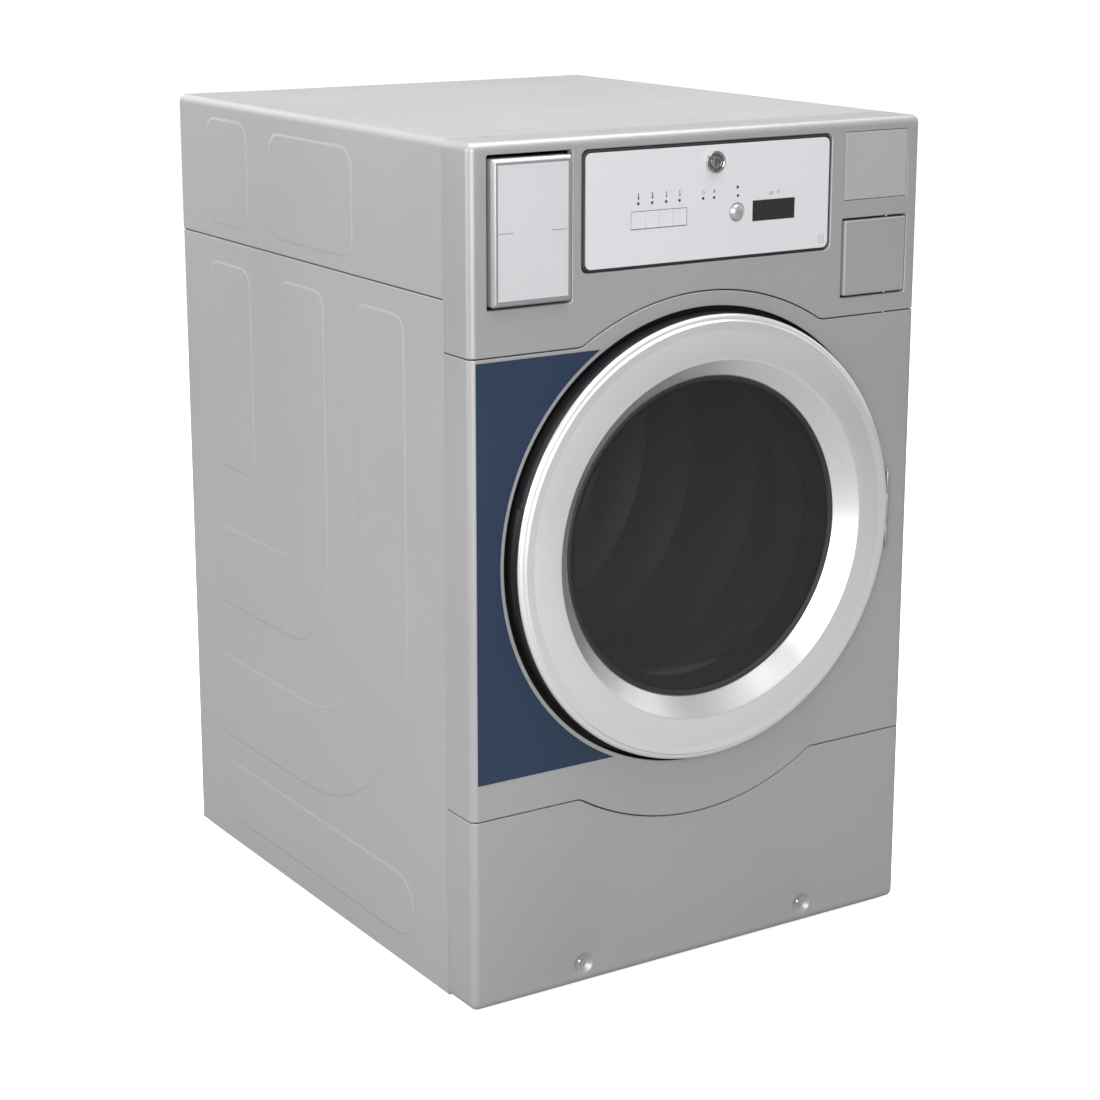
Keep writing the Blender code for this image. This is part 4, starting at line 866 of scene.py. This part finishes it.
dome = [(0.0, 0.0050), (0.0112, 0.0050), (0.0112, -0.0004), (0.0109, -0.0011), (0.0103, -0.0014),
        (0.0099, -0.0012), (0.0096, -0.0013), (0.0090, -0.0021), (0.0078, -0.0033), (0.0062, -0.0043),
        (0.0040, -0.0049), (0.0018, -0.00515), (0.0, -0.0052)]
addPiece("startButton", turnOutline(dome, (controls["startX"], frontY, keyZ), 64, False), "start_button",
         "buttonSilver", ["start_button"])

# cabinet lock: collar with a turned step, dark ring, plug with its key slot
lockX, lockZ = controls["lock"]
collar = [(0.0095, 0.0140), (0.0095, -0.0014), (0.0140, -0.0014), (0.0140, -0.0046), (0.0136, -0.0053),
          (0.0129, -0.0055), (0.0118, -0.0055), (0.0112, -0.0051), (0.0107, -0.0038), (0.0096, -0.0034),
          (0.0088, -0.0036), (0.0084, -0.0045), (0.0080, -0.0045), (0.0078, -0.0040), (0.0078, 0.0140)]
addPiece("lockCollar", turnOutline(collar, (lockX, frontY, lockZ), 96), "cabinet", "chrome", ["lock_housing"],
         angle=30)
ring = [(0.0093, -0.00345), (0.0105, -0.0038), (0.0106, -0.0034), (0.0093, -0.0031)]
addPiece("lockShadowRing", turnOutline(ring, (lockX, frontY, lockZ), 96), "cabinet", "blackPlastic")
addPiece("lockPlug", copyOfNode("lock_plug"), "lock_plug", "chrome", ["lock_plug"], edge=0.0004)
# the key slot is a black bar on the plug face: painted shade standing for the slot's depth
slotShadeShape = boxShape((lockX - 0.00095, frontY - 0.0046, lockZ - 0.0044),
                     (lockX + 0.00095, frontY + 0.0038, lockZ + 0.0044))
addPiece("keyWay", bevelEdges(slotShadeShape, 0.0003, 1), "lock_plug", "blackPlastic")
print("controls done")

# lower screws: hexagon head on a domed washer
screw = {"head": 0.0044, "headHigh": 0.0030, "washer": 0.0060, "shank": 0.0024}


def hexScrew(name, place, body, axisTurn=None, scale=1.0, replaced=(), shank=0.010):
    # looks along +Y from its head; axisTurn turns it to another side
    washer, across = screw["washer"] * scale, screw["head"] * scale
    outline = [(0.0, 0.0), (washer, 0.0), (washer, -0.0006), (washer * 0.86, -0.0012), (across, -0.0015),
               (0.0, -0.0015)]
    shape = turnOutline(outline, (0, 0, 0), 32, False)
    head = bmesh.new()
    bmesh.ops.create_cone(head, cap_ends=True, segments=6, radius1=across, radius2=across,
                          depth=screw["headHigh"])
    bmesh.ops.rotate(head, matrix=Matrix.Rotation(math.pi / 2, 3, "X"), verts=head.verts)
    bmesh.ops.translate(head, vec=(0, -0.0026, 0), verts=head.verts)
    bevelEdges(head, 0.0004, 2)
    stem = bmesh.new()
    bmesh.ops.create_cone(stem, cap_ends=True, segments=16, radius1=screw["shank"],
                          radius2=screw["shank"] * 0.8, depth=shank)
    bmesh.ops.rotate(stem, matrix=Matrix.Rotation(-math.pi / 2, 3, "X"), verts=stem.verts)
    bmesh.ops.translate(stem, vec=(0, shank / 2 - 0.0005, 0), verts=stem.verts)
    pourInto(shape, head)
    pourInto(shape, stem)
    if axisTurn:
        bmesh.ops.rotate(shape, matrix=axisTurn, verts=shape.verts)
    bmesh.ops.translate(shape, vec=place, verts=shape.verts)
    addPiece(name, shape, body, "chrome", replaced, angle=30)


for side, tag in ((-1, "left"), (1, "right")):
    hexScrew("accessScrew" + tag.capitalize(), (side * dimple["x"], frontY + dimple["floor"], dimple["z"]),
             "cabinet", None, 0.80, ["access_screw_" + tag], 0.0120)

# door: ring with a satin face, polished window cone and a painted dark reflection on its outer wall, seal,
# glass, liner
door = {"faceInner": 0.2325, "outerFillet": 0.0062, "steps": 240, "gripLow": -12.0, "gripHigh": 15.0,
        "gripSink": 0.9862}
coneEnd = frontY - 0.0060
outline = [(doorRadius, frontY + 0.0050), (doorRadius, frontY - 0.0030), (doorRadius, frontY - 0.0160)]
shoulder = ringFace + door["outerFillet"] + 0.0066
outline += fillet((doorRadius - door["outerFillet"], shoulder), door["outerFillet"], 0, -78, 8)
outline += [(0.2740, ringFace + 0.0047), (0.2620, ringFace + 0.0026), (0.2500, ringFace + 0.0010),
            (0.2412, ringFace + 0.0001), (0.2400, ringFace), (0.2345, ringFace)]
outline += fillet((door["faceInner"] + 0.0012, ringFace + 0.0022), 0.0022, -90, -141, 4)
outline += [(0.2298, ringFace + 0.0025), (0.2094, coneEnd - 0.0004), (0.2086, coneEnd + 0.0002),
            (0.2080, coneEnd + 0.0010), (0.2080, coneEnd + 0.0025), (0.2165, coneEnd + 0.0025),
            (0.2365, ringFace + 0.004), (0.280, ringFace + 0.004), (0.285, ringFace + 0.009),
            (0.285, frontY + 0.0050)]
shape = turnOutline(outline, (0, 0, doorZ), door["steps"])
gripFaces = []
for face in shape.faces:
    middle = face.calc_center_median()
    turn = math.degrees(math.atan2(middle.z - doorZ, -middle.x))
    onWall = abs(math.hypot(middle.x, middle.z - doorZ) - doorRadius) < 0.0005
    if onWall and frontY - 0.0160 < middle.y < frontY - 0.0030 and door["gripLow"] < turn < door["gripHigh"]:
        gripFaces.append(face)
made = bmesh.ops.extrude_face_region(shape, geom=gripFaces)["geom"]
bmesh.ops.delete(shape, geom=gripFaces, context="FACES_ONLY")
bmesh.ops.scale(shape, vec=(door["gripSink"], 1, door["gripSink"]), verts=vertsIn(made),
                space=Matrix.Translation((0, 0, -doorZ)))
for face in shape.faces:
    middle = face.calc_center_median()
    radial = math.hypot(middle.x, middle.z - doorZ)
    face.material_index = 1 if radial < 0.2326 and middle.y < coneEnd + 0.0008 else 0
    # the outer wall behind the shoulder takes the painted dark reflection
    if radial > 0.2780 and middle.y > shoulder - 0.0008:
        face.material_index = 2
bmesh.ops.recalc_face_normals(shape, faces=shape.faces)
addPiece("doorRing", shape, "door", "ringSatin", ["door_ring"], angle=32,
         more=["ringPolished", "ringWall"])

doorCentre = (0, frontY, doorZ)
seal = [(0.2079, -0.0036), (0.2079, -0.0062), (0.2068, -0.0071), (0.2052, -0.0070), (0.2036, -0.0058),
        (0.2022, -0.0042), (0.2016, -0.0034)]
addPiece("windowSeal", turnOutline(seal, doorCentre, door["steps"]), "door", "rubber")
glass = [(0.0, 0.0018), (0.2150, 0.0018), (0.2160, 0.0010), (0.2160, -0.0024), (0.2150, -0.0032),
         (0.0, -0.0032)]
addPiece("doorGlass", turnOutline(glass, doorCentre, 192, False), "door", "windowGlass", ["door_glass"])
flange = frontY + 0.0021
liner = [(0.2845, flange + 0.0030), (0.2845, flange + 0.0006), (0.2839, flange), (0.1945, flange),
         (0.1932, flange + 0.0008), (0.1930, flange + 0.0020), (0.1930, frontY + 0.0370),
         (0.1937, frontY + 0.0382), (0.1950, frontY + 0.0385), (0.1962, frontY + 0.0380),
         (0.1970, frontY + 0.0366), (0.1970, flange + 0.0048), (0.1988, flange + 0.0032),
         (0.2050, flange + 0.0030), (0.2090, flange + 0.0046), (0.2150, flange + 0.0046),
         (0.2190, flange + 0.0030)]
addPiece("doorLiner", turnOutline(liner, (0, 0, doorZ), 192), "door", "blackPlastic", ["door_liner"])
addPiece("doorStrike", copyOfNode("door_strike"), "door", "stainless", ["door_strike"], edge=0.0005)
addPiece("hingeLeaf", copyOfNode("hinge_leaf"), "door", "hingeGrey", ["hinge_leaf"], edge=0.0003)
addPiece("hingeBracket", copyOfNode("hinge_bracket"), "cabinet", "hingeGrey", ["hinge_bracket"], edge=0.0002)
for k, z in enumerate((-0.038, -0.014, 0.014, 0.038)):
    hexScrew("hingeScrew%d" % (k + 1), (0.2540, frontY + 0.0070, doorZ + z), "door",
             Matrix.Rotation(math.pi, 3, "X"), 0.72, (), 0.0020)

# the recess that the door closes into
surround = [(0.2993, recessFloor + 0.0025), (0.2993, frontY + 0.0018), (0.2987, frontY + 0.0012),
            (0.2974, frontY + 0.0012), (0.2968, frontY + 0.0018), (0.2968, recessFloor - 0.0030),
            (0.2960, recessFloor - 0.0010), (0.2938, recessFloor), (0.2555, recessFloor),
            (0.2430, recessFloor), (0.2090, recessFloor), (0.2080, recessFloor - 0.0006),
            (0.2060, recessFloor - 0.0006), (0.2045, recessFloor), (0.2040, recessFloor + 0.0006),
            (0.2040, recessFloor + 0.0025)]
shape = turnOutline(surround, (0, 0, doorZ), door["steps"])
pocket, pocketDepth = [], 0.0180
for face in shape.faces:
    middle = face.calc_center_median()
    radial = math.hypot(middle.x, middle.z - doorZ)
    turn = abs(math.degrees(math.atan2(middle.z - doorZ, -middle.x)))
    if 0.2430 < radial < 0.2555 and abs(middle.y - recessFloor) < 1e-5 and turn < 3.2:
        pocket.append(face)
made = bmesh.ops.extrude_face_region(shape, geom=pocket)["geom"]
bmesh.ops.delete(shape, geom=pocket, context="FACES_ONLY")
bmesh.ops.translate(shape, vec=(0, pocketDepth, 0), verts=vertsIn(made))
bmesh.ops.recalc_face_normals(shape, faces=shape.faces)
addPiece("doorSurround", shape, "cabinet", "blackPlastic", ["door_surround"])
addPiece("doorCatch", copyOfNode("door_catch"), "cabinet", "whitePlastic", ["door_catch"], edge=0.0005)
addPiece("doorSwitchPlunger", copyOfNode("door_switch_plunger"), "door_switch", "whitePlastic",
         ["door_switch_plunger"], edge=0.0006)
print("door done")

# drum: rolled mouth, creased wall, rear plate with ten groups of small holes
drum = {"radius": 0.322, "mouth": 0.228, "front": drumLow.y, "rear": drumHigh.y, "wall": 0.001, "groups": 10,
        "groupCircle": 0.235, "hole": 0.0036, "pitch": 0.0115, "groupRadius": 0.033}
front, rear = drum["front"], drum["rear"]
outline = [(drum["mouth"], front + 0.0060), (drum["mouth"] - 0.0001, front + 0.0020),
           (drum["mouth"] + 0.0012, front + 0.0003), (drum["mouth"] + 0.0035, front),
           (drum["radius"] - 0.012, front), (drum["radius"] - 0.003, front + 0.0025),
           (drum["radius"], front + 0.010)]
for y in (-0.200, -0.100, 0.060, 0.180):
    outline += [(drum["radius"], y - 0.006), (drum["radius"] - 0.0022, y - 0.002),
                (drum["radius"] - 0.0022, y + 0.002), (drum["radius"], y + 0.006)]
outline += [(drum["radius"], rear - 0.010), (drum["radius"] - 0.003, rear - 0.0025),
            (drum["radius"] - 0.012, rear)]
shape = turnOutline(outline, (0, 0, doorZ), 160, False)
rim = [e for e in shape.edges if e.is_boundary and all(abs(v.co.y - rear) < 1e-5 for v in e.verts)]
small = list(rim)
for group in range(drum["groups"]):
    turn = 2 * math.pi * (group + 0.5) / drum["groups"]
    centre = Vector((drum["groupCircle"] * math.cos(turn), drum["groupCircle"] * math.sin(turn)))
    for row in range(-3, 4):
        for column in range(-3, 4):
            spot = Vector((column + 0.5 * (row % 2), row * 0.866)) * drum["pitch"]
            if spot.length > drum["groupRadius"] - drum["hole"]:
                continue
            spot += centre
            small += drawLine(shape, [(x, rear, doorZ + z) for x,
                                      z in disc(spot.x, spot.y, drum["hole"], 8)])[1]
fillFlat(shape, small, (0, 1, 0))
faceOut(shape, lambda f: f.normal.y ** 2 > 0.99 and f.calc_center_median().y > 0.2, (0, 1, 0))
addPiece("drumShell", shape, "drum", "drumSteel", ["drum_shell"], thick=drum["wall"])
for k in range(3):
    addPiece("drumBaffle%d" % (k + 1), copyOfNode("drum_baffle_%d" % (k + 1)), "drum", "drumSteel",
             ["drum_baffle_%d" % (k + 1)], edge=0.0007)
print("drum done")

# lint filter: moulded frame with ribs and a woven screen
filterLow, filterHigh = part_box("lint_filter")
addPiece("lintFilterFrame", copyOfNode("lint_filter"), "lint_filter", "whitePlastic", ["lint_filter"],
         edge=0.0008)
screen = {"pitch": 0.0050, "wire": 0.0005, "half": 0.0915, "footGap": 0.010, "headGap": 0.030, "past": 0.001,
          "midRib": 0.003}
shape = bmesh.new()
pitch, wire, half = screen["pitch"], screen["wire"], screen["half"]
filterY = (filterLow.y + filterHigh.y) / 2
bottom, top = filterLow.z + screen["footGap"], filterHigh.z - screen["headGap"]
for k in range(int(2 * half / pitch) + 1):
    x = -half + k * pitch
    if abs(x) >= screen["midRib"]:
        addBar(shape, (x, filterY + 0.0012, (bottom + top) / 2),
               (wire, wire, top - bottom + 2 * screen["past"]))
for k in range(int((top - bottom) / pitch) + 1):
    addBar(shape, (0, filterY + 0.0016, bottom + k * pitch), (2 * half, wire, wire))
addPiece("lintScreen", shape, "lint_filter", "filterMesh")

# back of the machine
backPlate = {"low": 0.034, "high": topZ - 0.0014, "half": 0.3408, "y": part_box("rear_panel")[0].y,
             "thick": 0.0009,
             "ventX": (0.115, 0.185, 0.255), "ventZ": tuple(0.505 + 0.03 * k for k in range(6)),
             "duct": (-0.090, 0.102)}
y0 = backPlate["y"]
holesInBack = [disc(*backPlate["duct"], 0.0525, 96)]
for x in backPlate["ventX"]:
    for z in backPlate["ventZ"]:
        holesInBack.append(roundRect((x - 0.025, x + 0.025, z - 0.005, z + 0.005), 0.0049, 0, 5))
span = (-backPlate["half"], backPlate["half"], backPlate["low"], backPlate["high"])
shape = plateShape(roundRect(span, 0.0088, 0, 8), y0, y0 + backPlate["thick"], holesInBack)
addPiece("rearPanel", shape, "cabinet", "galvanised", ["rear_panel"])
# pressed hoods over the vents
shape = bmesh.new()
for x in backPlate["ventX"]:
    for z in backPlate["ventZ"]:
        louvre = boxShape((x - 0.027, y0 + 0.0009, z - 0.002), (x + 0.027, y0 + 0.0065, z + 0.0062))
        low = [v for v in louvre.verts if v.co.y > y0 + 0.005 and v.co.z > z + 0.004]
        bmesh.ops.translate(louvre, vec=(0, -0.0050, 0.0012), verts=low)
        bevelEdges(louvre, 0.0008, 2, lambda e: all(v.co.y > y0 + 0.0011 for v in e.verts))
        pourInto(shape, louvre)
addPiece("rearLouvres", shape, "cabinet", "galvanised")
back = Matrix.Rotation(math.pi, 3, "Z")
spots = [(x, z) for x in (-0.325, 0.325) for z in (0.055, 0.31, 0.565, 0.82, 1.065)]
spots += [(-0.11, 1.065), (0.11, 1.065), (0.11, 0.055), (-0.21, 0.055)]
for k, (x, z) in enumerate(spots):
    hexScrew("rearScrew%d" % (k + 1), (x, y0 + 0.0009, z), "cabinet", back, 0.85, (), 0.004)

cover = {"x": -0.245, "z": 0.985, "half": 0.055, "out": rearY + 0.0260, "screwAt": 0.044}
shape = boxShape((cover["x"] - cover["half"], y0 + 0.0010, cover["z"] - cover["half"]),
                 (cover["x"] + cover["half"], cover["out"], cover["z"] + cover["half"]))
bevelEdges(shape, 0.0025, 3, lambda e: any(v.co.y > rearY for v in e.verts))
addPiece("terminalCover", shape, "cabinet", "galvanised", ["terminal_cover"])
for k, (dx, dz) in enumerate(((-1, -1), (1, -1), (1, 1), (-1, 1))):
    hexScrew("terminalScrew%d" % (k + 1), (cover["x"] + dx * cover["screwAt"], cover["out"] - 0.0032,
                                          cover["z"] + dz * cover["screwAt"]),
             "cabinet", back, 0.62, (), 0.003)
grommet = [(0.0070, 0.004), (0.0070, -0.0040), (0.0082, -0.0060), (0.0106, -0.0060), (0.0120, -0.0044),
           (0.0120, -0.0004), (0.0112, 0.0002)]
addPiece("cableGrommet", turnOutline(grommet,
                                     (cover["x"], rearY + 0.0130, cover["z"] - cover["half"] - 0.0001), 48,
                                     True, "Z"),
         "cabinet", "rubber")

ductLow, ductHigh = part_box("exhaust_duct")
ductY = ductHigh.y
outline = [(0.0500, ductLow.y), (0.0510, ductLow.y), (0.0510, ductY - 0.0165), (0.0516, ductY - 0.0155),
           (0.0522, ductY - 0.0135), (0.0516, ductY - 0.0115), (0.0510, ductY - 0.0105),
           (0.0510, ductY - 0.0012), (0.0507, ductY - 0.0003), (0.0502, ductY), (0.0500, ductY - 0.0006)]
addPiece("exhaustDuct", turnOutline(outline, (backPlate["duct"][0], 0, backPlate["duct"][1]), 96), "cabinet",
         "galvanised", ["exhaust_duct"])
collarRing = [(0.0515, y0 + 0.0009), (0.0690, y0 + 0.0009), (0.0690, y0 + 0.0018), (0.0560, y0 + 0.0022),
              (0.0535, y0 + 0.0050), (0.0525, y0 + 0.0090), (0.0515, y0 + 0.0090)]
addPiece("exhaustFlange", turnOutline(collarRing, (backPlate["duct"][0], 0, backPlate["duct"][1]), 96),
         "cabinet",
         "galvanised")
print("back done")

# feet: rubber pad, steel collar and threaded stem
foot = {"top": 0.050, "pitch": 0.0015}
for node in [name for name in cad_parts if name.startswith("levelling_foot")]:
    low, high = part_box(node)
    place = ((low.x + high.x) / 2, (low.y + high.y) / 2, 0)
    tag = node.replace("levelling_foot_", "")
    label = "".join(part.capitalize() for part in tag.split("_"))
    pad = [(0.0, 0.0), (0.0150, 0.0), (0.0165, 0.0004), (0.0176, 0.0014), (0.0180, 0.0028), (0.0178, 0.0044),
           (0.0168, 0.0055), (0.0150, 0.0060), (0.0, 0.0060)]
    addPiece("footPad" + label, turnOutline(pad, place, 48, False, "Z"), "foot_" + tag, "rubber", [node])
    stem = [(0.0, 0.0060), (0.0105, 0.0060), (0.0105, 0.0086), (0.0098, 0.0090), (0.0052, 0.0090)]
    z = 0.0095
    while z < foot["top"] - 0.0030:
        stem += [(0.0050, z), (0.0050, z + 0.0005), (0.0044, z + 0.0010)]
        z += foot["pitch"]
    stem += [(0.0044, foot["top"] - 0.0004), (0.0040, foot["top"]), (0.0, foot["top"])]
    addPiece("footStem" + label, turnOutline(stem, place, 24, False, "Z"), "foot_" + tag, "stainless")
print("feet done")

# pieces inside, taken from the CAD shapes with their edges eased
inside = {
    "base_pan": ("cabinet", "galvanised", 0.0002), "front_bulkhead": ("cabinet", "galvanised", 0.0),
    "rear_bulkhead": ("cabinet", "galvanised", 0.0002), "filter_duct": ("cabinet", "galvanised", 0.0002),
    "motor_body": ("cabinet", "motorSteel", 0.0010), "motor_bracket": ("cabinet", "galvanised", 0.0005),
    "blower_housing": ("cabinet", "galvanised", 0.0003), "heater_housing": ("cabinet", "galvanised", 0.0003),
    "control_board": ("cabinet", "boardGreen", 0.0002), "heating_element": ("cabinet", "heatedWire", 0.0),
    "drive_belt": ("cabinet", "rubber", 0.0004), "motor_shaft": ("motor_rotor", "motorSteel", 0.0004),
    "blower_wheel": ("motor_rotor", "galvanised", 0.0003), "idler_arm": ("idler_arm", "galvanised", 0.0004),
    "idler_pulley": ("idler_pulley", "motorSteel", 0.0006),
    "support_roller_left": ("roller_left", "rubber", 0.0012),
    "support_roller_right": ("roller_right", "rubber", 0.0012),
}
for node, (body, finish, edge) in inside.items():
    words = node.split("_")
    label = words[0] + "".join(word.capitalize() for word in words[1:])
    addPiece(label, copyOfNode(node), body, finish, [node], edge=edge, angle=32)
print("inner pieces done")

# every CAD node that still shows takes a finish of its own
nodeFinish = {}
for finish, slot in slotOf.items():
    nodeFinish.setdefault(slot, finish)
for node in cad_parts.values():
    for place in node.material_slots:
        found = next((finish for key, finish in nodeFinish.items() if place.material.name.startswith(key)),
                     None)
        if found:
            place.material = finishes[found]

# floor, light and camera
stage = {
    "floorColour": (0.88, 0.88, 0.88),
    "floorGlow": 0.80,
    "floorBounce": 0.34,
    "floorHalf": 70.0,
    "sky": 0.30,
    # name, place, aim, width, height, power
    "lamps": (
        ("overhead", (0.2, -0.2, 3.8), (0, 0, 0.6), 3.6, 3.4, 168),
        ("leftWindow", (-4.2, 0.6, 1.9), (0, 0, 0.55), 3.4, 3.0, 100),
        ("frontWindow", (-2.6, -4.4, 1.9), (0, 0, 0.55), 3.4, 3.0, 205),
        ("rightFill", (4.2, -0.6, 1.8), (0, 0, 0.6), 2.8, 2.6, 16),
        ("backFill", (-0.6, 4.2, 2.0), (0, 0, 0.6), 2.8, 2.6, 60),
    ),
}


def seenOr(tree, lighting, seen, target):
    # the stage lights the machine with one shader and shows another
    path = tree.nodes.new("ShaderNodeLightPath")
    choice = tree.nodes.new("ShaderNodeMixShader")
    tree.links.new(path.outputs["Is Camera Ray"], choice.inputs["Fac"])
    tree.links.new(lighting.outputs[0], choice.inputs[1])
    tree.links.new(seen.outputs[0], choice.inputs[2])
    tree.links.new(choice.outputs["Shader"], tree.nodes[target].inputs["Surface"])


shape = bmesh.new()
bmesh.ops.create_grid(shape, x_segments=2, y_segments=2, size=stage["floorHalf"])
floorMesh = bpy.data.meshes.new("floor")
shape.to_mesh(floorMesh)
shape.free()
floor = bpy.data.objects.new("floor", floorMesh)
bpy.context.scene.collection.objects.link(floor)
floorMesh.materials.append(makeFinish("paleFloor", {"colour": stage["floorColour"], "rough": 0.8,
                                                    "grainScale": 3,
                                                    "grain": 0.004, "drift": 0.004}))
# to the eye the floor is white, while what it throws back at the machine is the grey of a real one
tree = floorMesh.materials[0].node_tree
floorShader = tree.nodes["Principled BSDF"]
floorShader.inputs["Emission Color"].default_value = (1, 1, 1, 1)
floorShader.inputs["Emission Strength"].default_value = stage["floorGlow"]
bounce = nodeOf(tree, "ShaderNodeBsdfDiffuse", Color=(*[stage["floorBounce"]] * 3, 1))
seenOr(tree, bounce, floorShader, "Material Output")

world = bpy.data.worlds.new("studio")
bpy.context.scene.world = world
world.use_nodes = True
skyTree = world.node_tree
glow = skyTree.nodes["Background"]
glow.inputs["Color"].default_value = (1, 1, 1, 1)
glow.inputs["Strength"].default_value = stage["sky"]
backdrop = nodeOf(skyTree, "ShaderNodeBackground", Color=(1, 1, 1, 1), Strength=1.0)
seenOr(skyTree, glow, backdrop, "World Output")

for name, place, aim, width, height, power in stage["lamps"]:
    lamp = bpy.data.lights.new(name, "AREA")
    lamp.shape = "RECTANGLE"
    lamp.size, lamp.size_y, lamp.energy = width, height, power
    holder = bpy.data.objects.new(name, lamp)
    holder.location = place
    holder.rotation_euler = (Vector(aim) - Vector(place)).to_track_quat("-Z", "Y").to_euler()
    bpy.context.scene.collection.objects.link(holder)

lens = bpy.data.cameras.new("camera")
lens.sensor_width = 36
lens.lens = view["lens"]
lens.shift_y = view["shiftY"]
lens.clip_end = 200
camera = bpy.data.objects.new("camera", lens)
azimuth, elevation = math.radians(view["azimuth"]), math.radians(view["elevation"])
back = Vector((math.sin(azimuth) * math.cos(elevation), -math.cos(azimuth) * math.cos(elevation),
               math.sin(elevation)))
turn = back.to_track_quat("Z", "Y").to_matrix() @ Matrix.Rotation(math.radians(view["roll"]), 3, "Z")
camera.matrix_world = Matrix.Translation(view["place"]) @ turn.to_4x4()
bpy.context.scene.collection.objects.link(camera)
bpy.context.scene.camera = camera
bpy.context.scene.view_settings.view_transform = "Standard"
print("floor, lights and camera done")
